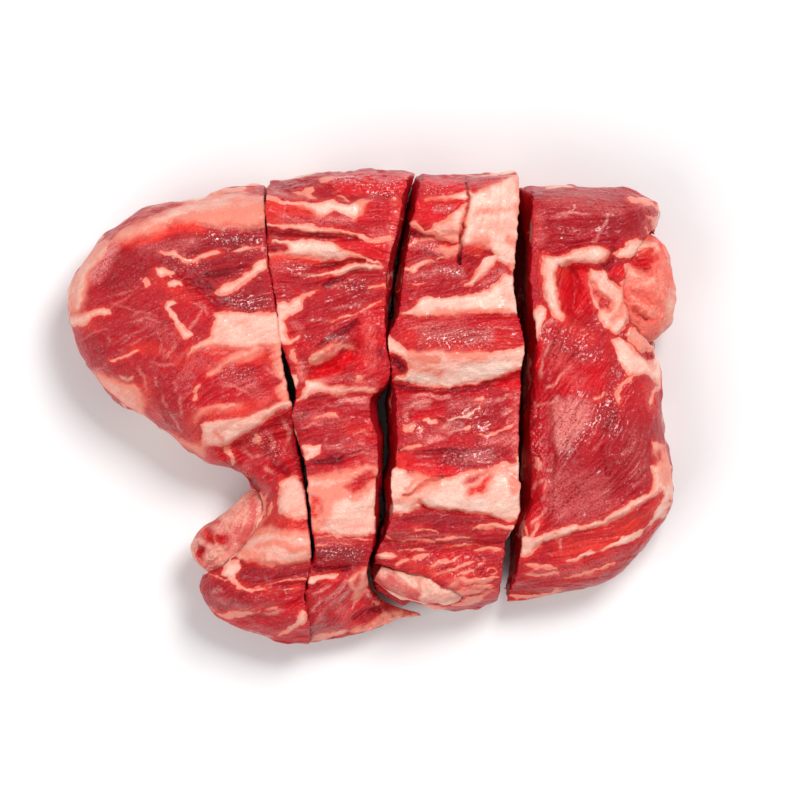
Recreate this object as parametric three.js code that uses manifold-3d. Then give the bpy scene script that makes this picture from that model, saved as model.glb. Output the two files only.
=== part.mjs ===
// Raw beef neck bone: one piece of neck, sawn across into four slices that still lie side by side as the
// whole piece. They rest on flat undersides with the muscle side up. Three bones show: a process in the
// notch of the first slice, one at the near corner of the third, and the joint head at the fourth's end.
// Millimetres, +Z up, X along the neck, origin under the middle of the piece.
import * as THREE from "three";
import { mergeVertices } from "three/addons/utils/BufferGeometryUtils.js";
import Module from "manifold-3d";

const wasm = await Module();
wasm.setup();

// Driving sizes
const BONE_CLEARANCE = 0.45; // between a bone and the meat round it
const KERF_INSET = 0.15; // how far each sawn wall stands back from its stations
const ROWS = 46; // cross-rows of faces along each slice
const WALL_STEPS = 3; // faces up a sawn wall
const UNDERSIDE_COLUMNS = 6;
const EDGE_CROWDING = 0.55; // how much closer the rows stand at a slice's two ends
const SIDE_CROWDING = 1.45; // how much closer the columns stand at a natural side: 1 is evenly
const SIDE_SAMPLES = 600; // steps in which a side line's length is measured
const END_STEPS = 12; // straight stretches in which an end's outline is measured
const WELD = 1e-3;
const SAW_RIPPLE = 0.25; // how far a sawn wall stands in from straight, on average
const RIPPLED_WALL = 10; // a sawn wall lower than this has less ripple
const CROWN = 1.6; // how much the middle of a slice stands over its sides
const UNEVEN_RISE = 0.55;

// Every slice is a row of stations from its near end to its far end. A station gives a point of the upper
// surface on the slice's left side and the one across from it on its right: [x, y, height, x, y, height].
const LEFT = 0;
const RIGHT = 3;

// Slice 1 is the wide end lobe with the notch under it. Its left side is the neck's own surface.
const SLICE_1 = {
  name: "slice_1",
  columns: 18,
  natural: { left: 15, bottom: 9, top: 7 },
  waist: 17,
  underRound: 1.1,
  lean: { left: 0, right: 0 },
  bow: { bottom: 0, top: 0 },
  stations: [
    [-24.5, -77.2, 14, -20.2, -77.4, 15],
    [-33, -75, 22, -20.2, -73.5, 27],
    [-50, -67.6, 27, -20.9, -64, 34],
    [-55, -61, 28, -21.6, -60, 35],
    [-55.8, -56, 28, -19.9, -55, 36],
    [-47, -48.5, 32, -19.4, -47, 38],
    [-36.5, -33, 30, -20.7, -32, 38],
    [-42.3, -20.8, 29, -22.8, -18, 32],
    [-50, -19.2, 31, -24, -12, 33],
    [-58, -16, 33, -25, -5, 36],
    [-66, -9, 35, -25.6, 2, 40],
    [-90.5, 10, 35, -29.2, 21, 43],
    [-98, 35, 35, -31.1, 37, 42],
    [-90, 50, 36, -32.8, 47, 42],
    [-74.5, 63, 37, -33.3, 55, 42],
    [-64, 65, 38, -33.6, 59, 42],
    [-45, 69.2, 36, -33.8, 67, 39],
    [-38, 70.8, 31, -33.7, 70.6, 33],
  ],
};

// Slice 2 has both sides sawn. A thin tail of meat runs from its lower end under slice 3.
const SLICE_2 = {
  name: "slice_2",
  columns: 13,
  natural: { bottom: 8, top: 7 },
  waist: 12,
  underRound: 0.9,
  lean: { left: 0, right: -0.6 },
  bow: { bottom: -1.8, top: 2.1 },
  stations: [
    [-19.6, -76.8, 13, 14.6, -66.6, 12.6],
    [-19.8, -70, 27, 5.5, -63.5, 14],
    [-20.9, -60.5, 33, -0.3, -57.8, 27],
    [-18.5, -51, 35, -0.5, -50.5, 35],
    [-17.2, -47.5, 37, 0.8, -47, 36],
    [-18.4, -39, 39, 1.7, -39, 38],
    [-19.1, -27, 40, 1.7, -27, 39],
    [-19.8, -22, 39, 2.9, -22, 39],
    [-20.6, -18, 38, 2.4, -18, 39],
    [-24, -9, 37, 2.6, -9.5, 39],
    [-24.4, 0, 39, -0.6, -0.5, 38],
    [-23.2, 3, 40, 0.8, 3.5, 38],
    [-24.2, 6, 41, 4.6, 6.5, 39],
    [-25.3, 10, 42, 5.6, 10, 40],
    [-28, 19, 43, 4, 20, 40],
    [-29.2, 31, 43, 4.9, 31, 40],
    [-31.9, 46, 43, 6.4, 46, 43],
    [-32.7, 56, 43, 9.1, 56, 43],
    [-33, 68.5, 38, 11.5, 69, 40],
    [-32.5, 71, 34, 12.8, 73, 38],
    [-30.5, 72.2, 30, 13.6, 75, 34],
  ],
};

// Slice 3 carries the thick roll of muscle across its middle, and a short kerf in its far end.
const SLICE_3 = {
  name: "slice_3",
  columns: 13,
  natural: { bottom: 10, top: 6 },
  waist: 16,
  underRound: 0.9,
  lean: { left: -0.8, right: -0.6 },
  bow: { bottom: -6.4, top: -1.4 },
  stations: [
    [0.9, -56.8, 24, 42, -62.3, 24],
    [0.3, -54.5, 28, 42, -59.5, 29],
    [0.9, -49, 31, 42.5, -51, 33],
    [3.8, -43.3, 35, 43.6, -42.5, 35],
    [5, -40, 36, 45.9, -39.5, 37],
    [6.9, -33, 38, 48, -33.5, 39],
    [6.3, -26, 39, 47.4, -25.5, 40],
    [8, -17, 39, 47.3, -16.5, 40],
    [8, 4, 39, 48.1, 5, 40],
    [7.2, 16.5, 41, 48.9, 16.5, 43],
    [6.1, 20, 41, 49.5, 19, 43],
    [9.1, 28.5, 41, 47, 29.5, 41],
    [9.8, 37, 41, 45.7, 38, 41],
    [13, 58, 42, 47, 58, 43],
    [15.7, 71.5, 39, 47.7, 72, 40],
    [17.2, 74.6, 35, 47.4, 75.6, 36],
  ],
};

// Slice 4 is the other end of the piece: its right side is the neck's own surface, with the joint head in.
const SLICE_4 = {
  name: "slice_4",
  columns: 16,
  natural: { right: 13, bottom: 8, top: 7 },
  waist: 15,
  underRound: 1,
  lean: { left: -2.6, right: 0 },
  bow: { bottom: 0, top: 0 },
  stations: [
    [43.4, -63.2, 14, 48, -63.6, 14],
    [45, -58.5, 23, 70, -58.7, 27],
    [46.2, -55, 27, 80, -55, 29],
    [49.6, -37.5, 35, 97.7, -32, 33],
    [51.6, -32, 36, 98, -26, 33],
    [51.6, -14, 38, 95, -9, 35],
    [52.4, 4, 38, 93.3, 8, 35],
    [53, 23, 40, 91, 24.5, 33],
    [51.2, 33, 40, 90, 36, 33],
    [51.4, 57, 41, 92.7, 60, 34],
    [51.4, 61, 41, 93.6, 63.3, 35],
    [51.3, 68, 38, 83, 69.4, 33],
    [51.2, 70.4, 32, 76, 70.6, 29],
  ],
};

// Ridges (rise over 0) and hollows (under 0) of the upper surface: [rise, half width, x, y, x, y, ...]
const RELIEF = [
  [2.4, 8, -86, 48, -75, 57, -62, 61, -48, 63, -34, 63], // fat rim of the lobe
  [-1.6, 4, -69, 43, -60, 41, -52, 36.5, -46, 31],
  [2.2, 22, -62, 14, -45, 20],
  [2.4, 6, -52, -9, -40, -4, -29, 3], // fat edge over the step
  [-5.5, 8, -41, -15, -32, -16, -26, -12], // rough hollow below the step
  [2.6, 9, -27, -34, -26, -44],
  [-2, 4, -43, -50, -30, -51.5, -20, -51],
  [-1.8, 4, -44, -57.5, -33, -58.5, -22, -58],
  [2, 8, -46, -62, -33, -62],
  [-2.2, 4, -42, -69, -31, -66, -21, -62],
  [-3.4, 5, -32, 70, -12, 68.5, 2, 69, 11, 68], // rough strip at slice 2's far end
  [-1.4, 4.5, -33, 57.5, -20, 55.5, -6, 53.5, 5, 51.5],
  [1.6, 5, -26, 50.5, -12, 50, 2, 48],
  [-1.6, 4.5, -20, 45, -8, 46, 5, 44],
  [-1.4, 3.5, -26, 36.5, -15, 38.5, -4, 42],
  [2.8, 5.5, -23, 14.5, -15, 18, -6, 21.5], // lip over the deep fold
  [-5.5, 5.2, -18.5, 9.3, -12, 11.4, -6.5, 16.5],
  [1.6, 4, -20, 6.5, -8, 5.5, 2, 5.5],
  [-1.6, 5, -22, -3, -12, -8, 2, -10],
  [2.4, 11, -10, -33, -6, -30],
  [-2.4, 4, -18, -51.5, -11, -53, -5, -51.5],
  [2, 6, -12, -60, -3, -54],
  [-2.6, 4.5, 12.5, 55.5, 17, 54, 21, 53.2, 26, 52], // under the loose flap at slice 3's far end
  [-2.8, 9, 16, 44, 30, 42, 42, 44],
  [1.8, 5, 10, 30.5, 20, 32, 33, 32, 47, 32],
  [4.2, 12, 7, 18, 20, 18.5, 36, 18, 49, 17], // the roll of muscle
  [-3, 4, 7.5, 6.6, 16, 6.4, 33, 4.6, 48, 6],
  [-2, 5, 11, -3, 22, -6],
  [1.8, 8, 9, -26, 25, -29, 46, -27],
  [-2, 3, 6, -35.5, 22, -34.5, 38, -35.5, 44, -38],
  [-2.4, 5, 5, -44, 20, -47, 41, -46],
  [1.6, 6, 22, -58, 34, -57],
  [2.6, 4.5, 61, 28, 57, 38, 57, 45, 65, 48, 75, 49], // horseshoe of fat on slice 4
  [-4.5, 7, 66, 31, 66, 41],
  [-3, 4, 73, 38, 76, 31],
  [2.4, 8, 57, 22, 66, 20, 72, 14],
  [-5.5, 5, 53, 6, 53, -10, 52.5, -25, 51.5, -36], // wet trough beside the saw cut
  [3, 16, 67, -8, 74, -18],
  [-2, 3.5, 77.5, 9, 77, 0, 75.5, -10, 75, -22],
  [2, 5, 54, -42, 68, -38.5, 82, -33, 91, -27],
  [-1.6, 4, 56, -46, 72, -41.5, 86, -35],
  [-2.5, 4, 79, 21, 85, 17.5, 91, 14],
];

// Bones, as rings along their length: [x, y, z, half width across, half height]
const BONE_RING_SIDES = 18;
const BONE_LUMPS = 0.05; // of a ring's size
const POCKET_REACH = 8; // how far a bone's pocket runs on past the saw cut
const UPRIGHT_HEIGHT = 40; // where the saw cut through a bone stops leaning
const BONES = {
  bone_1: {
    inside: "slice_1",
    rings: [
      [-25, -31.5, 15, 3.5, 3.5],
      [-30, -32, 15, 6.5, 6],
      [-36, -34.9, 16.5, 7.8, 7.8],
      [-41.5, -39.6, 17.5, 8, 8.4],
      [-46.4, -43.8, 17.5, 8.2, 8.6],
      [-50.6, -47.3, 17, 7.8, 8.2],
      [-53.8, -49.6, 16, 5.8, 6.2],
      [-55.4, -50.7, 15.4, 2, 2.4],
    ],
  },
  bone_3: {
    inside: "slice_3",
    rings: [
      [2.4, -53.7, 25.6, 3, 5],
      [6, -55.6, 25.6, 4, 5.8],
      [12, -57.4, 25.6, 4.8, 6.2],
      [18, -58.2, 25.4, 5.6, 6.8],
      [24, -58.4, 24.8, 5.4, 6.6],
      [28, -58.2, 23.8, 4, 5],
      [30, -58, 23, 1.4, 2],
    ],
  },
  bone_4: {
    inside: "slice_4",
    rings: [
      [51.4, 41.5, 18.5, 16.5, 13.5],
      [60, 41.5, 18.5, 14, 12],
      [70, 39.4, 18.5, 14, 12.5],
      [78, 37.8, 18.5, 17, 14.5],
      [84, 37.2, 18.5, 19, 15.6],
      [89, 36.6, 18.5, 18.6, 15.4],
      [93.4, 36, 18.3, 15.6, 12.8],
      [96.4, 36, 18, 10.2, 8.6],
      [97.8, 36, 18, 3.4, 3],
    ],
  },
};

// The short kerf in slice 3's far end, as its outline in plan, and how deep the blade went
const KERF_OUTLINE = [
  [30.2, 76],
  [30.9, 66],
  [30.1, 57],
  [28.2, 45.2],
  [29.2, 45.4],
  [31.1, 57],
  [31.8, 66],
  [31.2, 76],
];
const KERF_FLOOR = 27;
const ABOVE_ALL = 60;

// A value of -1 to 1 that changes smoothly over a few millimetres, for the unevenness of meat
function unevenness(x, y, z) {
  return (
    (Math.sin(x * 0.41 + 1.3 * Math.sin(y * 0.23 + 0.4)) * Math.cos(y * 0.37 + z * 0.19) +
      Math.sin(y * 0.59 + x * 0.17 + 2.1) * Math.cos(x * 0.31 - z * 0.27 + 0.7)) /
    2
  );
}

function distanceToSegment(x, y, [ax, ay], [bx, by]) {
  const [dx, dy] = [bx - ax, by - ay];
  const along = ((x - ax) * dx + (y - ay) * dy) / Math.max(dx * dx + dy * dy, 1e-9);
  const t = THREE.MathUtils.clamp(along, 0, 1);
  return Math.hypot(x - ax - t * dx, y - ay - t * dy);
}

function distanceToLine(x, y, line) {
  const gaps = line.slice(1).map((end, i) => distanceToSegment(x, y, line[i], end));
  return Math.min(...gaps);
}

// The summed rise of every ridge and hollow at a place
function reliefAt(x, y) {
  let sum = 0;
  for (const [rise, half, ...flat] of RELIEF) {
    const line = [];
    for (let i = 0; i < flat.length; i += 2) line.push([flat[i], flat[i + 1]]);
    const t = distanceToLine(x, y, line) / half;
    if (t < 1) sum += rise * (1 - t * t) ** 2;
  }
  return sum;
}

// How far a rounded edge has risen at a distance from the outline: 0 on it, 1 past the rounding
function rounded(distance, radius) {
  const t = Math.min(distance / radius, 1);
  return Math.sqrt(1 - (1 - t) ** 2);
}

// The two side lines of a slice through its stations, sampled so that rows stand evenly, closer at the ends
function sideRows(slice) {
  const side = (from) =>
    new THREE.CatmullRomCurve3(
      slice.stations.map((s) => new THREE.Vector3(s[from], s[from + 1], s[from + 2])),
      false,
      "centripetal",
    );
  const [left, right] = [side(LEFT), side(RIGHT)];
  const travelled = [0];
  for (let i = 1; i <= SIDE_SAMPLES; i++) {
    const [a, b] = [(i - 1) / SIDE_SAMPLES, i / SIDE_SAMPLES];
    const [stepLeft, stepRight] = [left, right].map((line) => line.getPoint(a).distanceTo(line.getPoint(b)));
    travelled.push(travelled[i - 1] + stepLeft + stepRight);
  }
  const inset = { left: slice.natural.left ? 0 : KERF_INSET, right: slice.natural.right ? 0 : KERF_INSET };
  const rows = [];
  let i = 0;
  for (let row = 0; row <= ROWS; row++) {
    const along = row / ROWS;
    const share = along - (EDGE_CROWDING * Math.sin(2 * Math.PI * along)) / (2 * Math.PI);
    while (i < SIDE_SAMPLES && travelled[i] < share * travelled[SIDE_SAMPLES] - 1e-9) i++;
    const at = i / SIDE_SAMPLES;
    const ends = { left: left.getPoint(at), right: right.getPoint(at), along };
    ends.left.x += inset.left;
    ends.right.x -= inset.right;
    rows.push(ends);
  }
  return rows;
}

// Column positions across a row, closer together towards a natural side
function columnShares(count, natural) {
  return Array.from({ length: count + 1 }, (_, i) => {
    const even = i / count;
    if (natural.left) return even ** SIDE_CROWDING;
    if (natural.right) return 1 - (1 - even) ** SIDE_CROWDING;
    return even;
  });
}

// Triangles between two lines of points that share their direction, whatever their counts
function stitch(lineA, lineB, triangles) {
  let [a, b] = [0, 0];
  const [lastA, lastB] = [lineA.length - 1, lineB.length - 1];
  while (a < lastA || b < lastB) {
    const takeA = b === lastB || (a < lastA && (a + 1) / lastA <= (b + 1) / lastB);
    triangles.push(takeA ? [lineA[a], lineA[a + 1], lineB[b]] : [lineA[a], lineB[b + 1], lineB[b]]);
    if (takeA) a++;
    else b++;
  }
}

// One indexed geometry from triangles of points, welded. Faces with no area are left out, and so are two
// faces on the same three points, which would lie flat on each other.
function weld(triangles) {
  const position = new THREE.Float32BufferAttribute(triangles.flat(2), 3);
  const merged = mergeVertices(new THREE.BufferGeometry().setAttribute("position", position), WELD);
  const index = merged.index.array;
  const kept = new Map();
  for (let i = 0; i < index.length; i += 3) {
    const face = [...index.slice(i, i + 3)];
    const key = [...face].sort((a, b) => a - b).join();
    if (new Set(face).size < 3 || kept.delete(key)) continue;
    kept.set(key, face);
  }
  return merged.setIndex([...kept.values()].flat());
}

function toManifold(geometry) {
  return new wasm.Manifold(
    new wasm.Mesh({
      numProp: 3,
      vertProperties: new Float32Array(geometry.attributes.position.array),
      triVerts: new Uint32Array(geometry.index.array),
    }),
  );
}

function fromManifold(solid) {
  const mesh = solid.getMesh();
  return new THREE.BufferGeometry()
    .setAttribute("position", new THREE.Float32BufferAttribute(mesh.vertProperties, 3))
    .setIndex([...mesh.triVerts]);
}

// A slice: an upper and a lower skin over the same rows, meeting at the waist along natural sides and ends,
// and joined by upright walls along the saw cuts
function sliceGeometry(slice) {
  const rows = sideRows(slice);
  const { natural, waist, underRound, lean, bow } = slice;
  const bowed = (point, along, share) => {
    const end = along < 0.5 ? bow.bottom * (1 - along * 2) ** 3 : bow.top * (along * 2 - 1) ** 3;
    return [point[0], point[1] + end * 4 * share * (1 - share)];
  };
  const planAt = ({ left, right, along }, share) =>
    bowed([left.x + (right.x - left.x) * share, left.y + (right.y - left.y) * share], along, share);
  const endLine = (row) => Array.from({ length: END_STEPS + 1 }, (_, i) => planAt(row, i / END_STEPS));
  const edges = [
    { line: endLine(rows[0]), radius: natural.bottom },
    { line: endLine(rows[ROWS]), radius: natural.top },
  ];
  if (natural.left) edges.push({ line: rows.map((r) => planAt(r, 0)), radius: natural.left });
  if (natural.right) edges.push({ line: rows.map((r) => planAt(r, 1)), radius: natural.right });

  const leaning = (x, share, z, height) =>
    x + (lean.left * (1 - share) ** 2 + lean.right * share ** 2) * Math.max(0, 1 - z / height);
  const column = (row, share) => {
    const [x, y] = planAt(row, share);
    const onEnd = row === rows[0] || row === rows[ROWS];
    const onSide = (natural.left && share === 0) || (natural.right && share === 1);
    let up = onEnd || onSide ? 0 : 1;
    let down = up;
    for (const { line, radius } of edges) {
      const gap = distanceToLine(x, y, line);
      up *= rounded(gap, radius);
      down *= rounded(gap, radius * underRound);
    }
    const crowned = row.left.z + (row.right.z - row.left.z) * share + CROWN * Math.sin(Math.PI * share);
    const height = crowned + reliefAt(x, y) + UNEVEN_RISE * unevenness(x, y, 0);
    const top = waist + (height - waist) * up;
    const bottom = waist * (1 - down);
    return {
      x,
      y,
      share,
      height,
      top: [leaning(x, share, top, height), y, top],
      bottom: [leaning(x, share, bottom, height), y, bottom],
    };
  };
  const wall = (place) =>
    Array.from({ length: WALL_STEPS + 1 }, (_, i) => {
      const tall = place.top[2] - place.bottom[2];
      const z = place.bottom[2] + (tall * i) / WALL_STEPS;
      const free = Math.min(tall / RIPPLED_WALL, 1) * Math.sin((Math.PI * i) / WALL_STEPS);
      const ripple = SAW_RIPPLE * (1 + unevenness(3 * z, place.y, place.x)) * free;
      return [leaning(place.x, place.share, z, place.height) + ripple * (place.share ? -1 : 1), place.y, z];
    });

  const upper = rows.map((row) => columnShares(slice.columns, natural).map((s) => column(row, s)));
  const lower = rows.map((row, i) => {
    if (i === 0 || i === ROWS) return upper[i];
    return columnShares(UNDERSIDE_COLUMNS, natural).map((s) => column(row, s));
  });
  const triangles = [];
  for (let i = 0; i < ROWS; i++) {
    stitch(
      upper[i].map((p) => p.top),
      upper[i + 1].map((p) => p.top),
      triangles,
    );
    stitch(
      lower[i + 1].map((p) => p.bottom),
      lower[i].map((p) => p.bottom),
      triangles,
    );
    const [first, last] = [upper.map((r) => r[0]), upper.map((r) => r.at(-1))];
    if (!natural.left) stitch(wall(first[i]), wall(first[i + 1]), triangles);
    if (!natural.right) stitch(wall(last[i + 1]), wall(last[i]), triangles);
  }
  return weld(triangles);
}

// A bone: rings square to its length, a little lumpy. The pocket it lies in is the same bone, grown by the
// clearance and carried straight on past the saw cut by the reach.
function boneGeometry({ rings }, lean, grow = 0, reach = 0) {
  const centre = rings.map(([x, y, z]) => new THREE.Vector3(x, y, z));
  const loops = rings.map(([, , , halfWidth, halfHeight], i) => {
    const [before, after] = [centre[Math.max(i - 1, 0)], centre[Math.min(i + 1, rings.length - 1)]];
    const ahead = after.clone().sub(before).normalize();
    const across = new THREE.Vector3(0, 0, 1).cross(ahead).normalize();
    const up = ahead.clone().cross(across);
    const slide = i === rings.length - 1 ? grow : 0;
    return Array.from({ length: BONE_RING_SIDES }, (_, k) => {
      const turn = (2 * Math.PI * k) / BONE_RING_SIDES;
      const lump = 1 + BONE_LUMPS * unevenness(centre[i].x * 2 + k * 1.7, centre[i].y * 2, k * 3.1);
      const point = centre[i]
        .clone()
        .addScaledVector(ahead, slide)
        .addScaledVector(across, Math.cos(turn) * (halfWidth * lump + grow))
        .addScaledVector(up, Math.sin(turn) * (halfHeight * lump + grow));
      if (i === 0 && lean) point.x += lean * Math.max(0, 1 - point.z / UPRIGHT_HEIGHT);
      return point.toArray();
    });
  });
  if (reach) {
    const outward = reach * Math.sign(centre[0].x - centre[1].x);
    loops.unshift(loops[0].map(([x, y, z]) => [x + outward, y, z]));
  }
  const triangles = [];
  const closed = (loop) => [...loop, loop[0]];
  const middle = (loop) => [0, 1, 2].map((k) => loop.reduce((sum, p) => sum + p[k], 0) / loop.length);
  for (let i = 1; i < loops.length; i++) stitch(closed(loops[i - 1]), closed(loops[i]), triangles);
  const [start, end] = [loops[0], loops.at(-1)];
  for (let k = 0; k < BONE_RING_SIDES; k++) {
    const next = (k + 1) % BONE_RING_SIDES;
    triangles.push([middle(start), start[next], start[k]], [middle(end), end[k], end[next]]);
  }
  return weld(triangles);
}

function kerfGeometry() {
  const outline = new THREE.Shape(KERF_OUTLINE.map(([x, y]) => new THREE.Vector2(x, y)));
  const prism = new THREE.ExtrudeGeometry(outline, { depth: ABOVE_ALL - KERF_FLOOR, bevelEnabled: false });
  prism.translate(0, 0, KERF_FLOOR);
  prism.deleteAttribute("normal");
  prism.deleteAttribute("uv");
  return mergeVertices(prism, WELD);
}

const meatLook = { color: 0xb4262f, roughness: 0.38, metalness: 0 };
const boneLook = { color: 0xe0a898, roughness: 0.45, metalness: 0 };

const neck = new THREE.Group();

function addPiece(name, geometry, look) {
  geometry.computeVertexNormals();
  const mesh = new THREE.Mesh(geometry, new THREE.MeshStandardMaterial(look));
  mesh.name = name;
  neck.add(mesh);
}

for (const slice of [SLICE_1, SLICE_2, SLICE_3, SLICE_4]) {
  let solid = toManifold(sliceGeometry(slice));
  for (const [name, spec] of Object.entries(BONES)) {
    if (spec.inside !== slice.name) continue;
    const pocket = boneGeometry(spec, slice.lean.left, BONE_CLEARANCE, POCKET_REACH);
    solid = solid.subtract(toManifold(pocket));
    addPiece(name, boneGeometry(spec, slice.lean.left), boneLook);
  }
  if (slice === SLICE_3) solid = solid.subtract(toManifold(kerfGeometry()));
  addPiece(slice.name, fromManifold(solid), meatLook);
}

export default neck;
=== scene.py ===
import math

import bmesh
import bpy
import numpy as np
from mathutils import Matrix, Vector


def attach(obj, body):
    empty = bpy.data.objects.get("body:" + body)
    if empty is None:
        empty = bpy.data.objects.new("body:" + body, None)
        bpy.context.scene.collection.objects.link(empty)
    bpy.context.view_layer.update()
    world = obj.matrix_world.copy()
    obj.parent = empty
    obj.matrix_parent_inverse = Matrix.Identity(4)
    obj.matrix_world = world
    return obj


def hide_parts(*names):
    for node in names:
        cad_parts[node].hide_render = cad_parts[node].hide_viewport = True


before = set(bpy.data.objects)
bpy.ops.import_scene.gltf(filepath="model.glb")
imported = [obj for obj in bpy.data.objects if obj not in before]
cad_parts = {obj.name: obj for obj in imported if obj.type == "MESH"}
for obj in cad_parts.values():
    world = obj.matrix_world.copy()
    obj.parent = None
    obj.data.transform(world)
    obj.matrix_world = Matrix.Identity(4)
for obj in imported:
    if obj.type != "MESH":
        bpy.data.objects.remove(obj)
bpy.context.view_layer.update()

# The view. The piece lies muscle side up on a pale table top and is seen from straight above through a long
# lens. A wide soft light hangs over its far side, a weaker one over its near left, and the room is white.
MM = 0.001
VIEW_MIDDLE = (9.44 * MM, 1.6 * MM)
LENS_HEIGHT = 2.2
TOP_PLANE = 28 * MM
SEEN_WIDTH = 256 * MM
SENSOR = 36
PIECE_MIDDLE = Vector((0, 0, 20 * MM))
ROOM_LIGHT = 0.38

camera_data = bpy.data.cameras.new("view")
camera_data.sensor_width = SENSOR
camera_data.lens = SENSOR * (LENS_HEIGHT - TOP_PLANE) / SEEN_WIDTH
camera_data.clip_end = 20
camera = bpy.data.objects.new("view", camera_data)
camera.location = (*VIEW_MIDDLE, LENS_HEIGHT)
bpy.context.scene.collection.objects.link(camera)
bpy.context.scene.camera = camera
bpy.context.scene.view_settings.view_transform = "Standard"

bpy.ops.mesh.primitive_plane_add(size=6, location=(0, 0, 0))
table = bpy.context.object
table.name = "table"
table_material = bpy.data.materials.new("table")
table_material.use_nodes = True
table_look = table_material.node_tree.nodes["Principled BSDF"]
table_look.inputs["Base Color"].default_value = (0.83, 0.82, 0.82, 1)
table_look.inputs["Roughness"].default_value = 0.55
table.data.materials.append(table_material)


def soft_light(name, place, size, watts):
    """A square soft box that looks at the middle of the piece."""
    data = bpy.data.lights.new(name, "AREA")
    data.shape = "SQUARE"
    data.size = size
    data.energy = watts
    lamp = bpy.data.objects.new(name, data)
    lamp.location = place
    lamp.rotation_euler = (PIECE_MIDDLE - Vector(place)).to_track_quat("-Z", "Y").to_euler()
    bpy.context.scene.collection.objects.link(lamp)


soft_light("key", place=(0.8, 1.1, 2.1), size=0.9, watts=49)
soft_light("fill", place=(-1.2, -0.9, 1.6), size=1.4, watts=22)

room = bpy.data.worlds.new("room")
room.use_nodes = True
room.node_tree.nodes["Background"].inputs["Color"].default_value = (1, 1, 1, 1)
room.node_tree.nodes["Background"].inputs["Strength"].default_value = ROOM_LIGHT
bpy.context.scene.world = room


# The first slice: the wide end lobe of the neck muscles, with the notch under it. Its left side is the neck's
# own surface and its right side is the first saw cut. Like every slice it is moist raw muscle with seams and
# patches of fat, which stand a little proud of the lean.
def lattice_noise(places, size, seed):
    """Smooth noise of about -1 to 1, changing over `size` mm, at an array of places of two or three axes."""
    grid = np.random.default_rng(seed).uniform(-1, 1, (64,) * places.shape[1])
    spot = places / size
    whole = np.floor(spot).astype(int)
    part = spot - whole
    part = part * part * (3 - 2 * part)
    total = np.zeros(len(places))
    for corner in np.ndindex(*(2,) * places.shape[1]):
        weight = np.ones(len(places))
        for axis, step in enumerate(corner):
            weight *= part[:, axis] if step else 1 - part[:, axis]
        total += weight * grid[tuple(((whole + corner) % 64).T)]
    full_range = 1.4
    return total * full_range


def ease(low, high, value):
    """0 under `low`, 1 over `high`, smooth between."""
    t = np.clip((value - low) / (high - low), 0, 1)
    return t * t * (3 - 2 * t)


def pairs(flat):
    """Numbers in a row as points."""
    return np.array(flat, float).reshape(-1, 2)


def line_of(flat):
    """A line's points, and one just past the last, so that a single point is a line too."""
    line = pairs(flat)
    just_past = line[-1:] + 0.01
    return np.vstack([line, just_past])


def to_line(places, line):
    """The distance from each place to a line of points, and how far along the line the nearest point lies."""
    best = np.full(len(places), np.inf)
    along = np.zeros(len(places))
    reach = np.concatenate([[0], np.cumsum(np.linalg.norm(np.diff(line, axis=0), axis=1))])
    for i, (start, end) in enumerate(zip(line[:-1], line[1:])):
        step = end - start
        squared = max(float(step @ step), 1e-9)
        t = np.clip((places - start) @ step / squared, 0, 1)
        gap = np.hypot(*(places - start - t[:, None] * step).T)
        nearer = gap < best
        best[nearer] = gap[nearer]
        along[nearer] = (reach[i] + t[nearer] * math.sqrt(squared)) / max(reach[-1], 1e-9)
    return best, along


def inside(places, outline):
    """Whether each place lies within a closed outline."""
    within = np.zeros(len(places), bool)
    x, y = places.T
    for (ax, ay), (bx, by) in zip(outline, np.roll(outline, -1, axis=0)):
        if ay == by:
            continue
        crossing = (ay > y) != (by > y)
        within ^= crossing & (x < (bx - ax) * (y - ay) / (by - ay) + ax)
    return within


def fine_mesh(node, voxel):
    """A copy of a node's solid as an even mesh, smoothed, with the faces that look up twice as fine."""
    same_spot = 2e-6
    looks_up = 0.12
    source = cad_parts[node].data.copy()
    work = bpy.data.objects.new("work", source)
    bpy.context.scene.collection.objects.link(work)
    bm = bmesh.new()
    bm.from_mesh(source)
    bmesh.ops.remove_doubles(bm, verts=bm.verts, dist=same_spot)
    bm.to_mesh(source)
    bm.free()
    remesh = work.modifiers.new("even", "REMESH")
    remesh.mode = "VOXEL"
    remesh.voxel_size = voxel * MM
    smooth = work.modifiers.new("smooth", "SMOOTH")
    smooth.factor = 0.5
    smooth.iterations = 9
    even = bpy.data.meshes.new_from_object(work.evaluated_get(bpy.context.evaluated_depsgraph_get()))
    bm = bmesh.new()
    bm.from_mesh(even)
    upper = [e for e in bm.edges if all(f.normal.z > looks_up for f in e.link_faces)]
    bmesh.ops.subdivide_edges(bm, edges=upper, cuts=1, use_grid_fill=True)
    raised = [v for v in bm.verts if v.normal.z > looks_up]
    for _ in range(2):
        bmesh.ops.smooth_vert(
            bm, verts=raised, factor=0.5, use_axis_x=True, use_axis_y=True, use_axis_z=True
        )
    bm.to_mesh(even)
    bm.free()
    bpy.data.objects.remove(work)
    bpy.data.meshes.remove(source)
    return even


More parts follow.
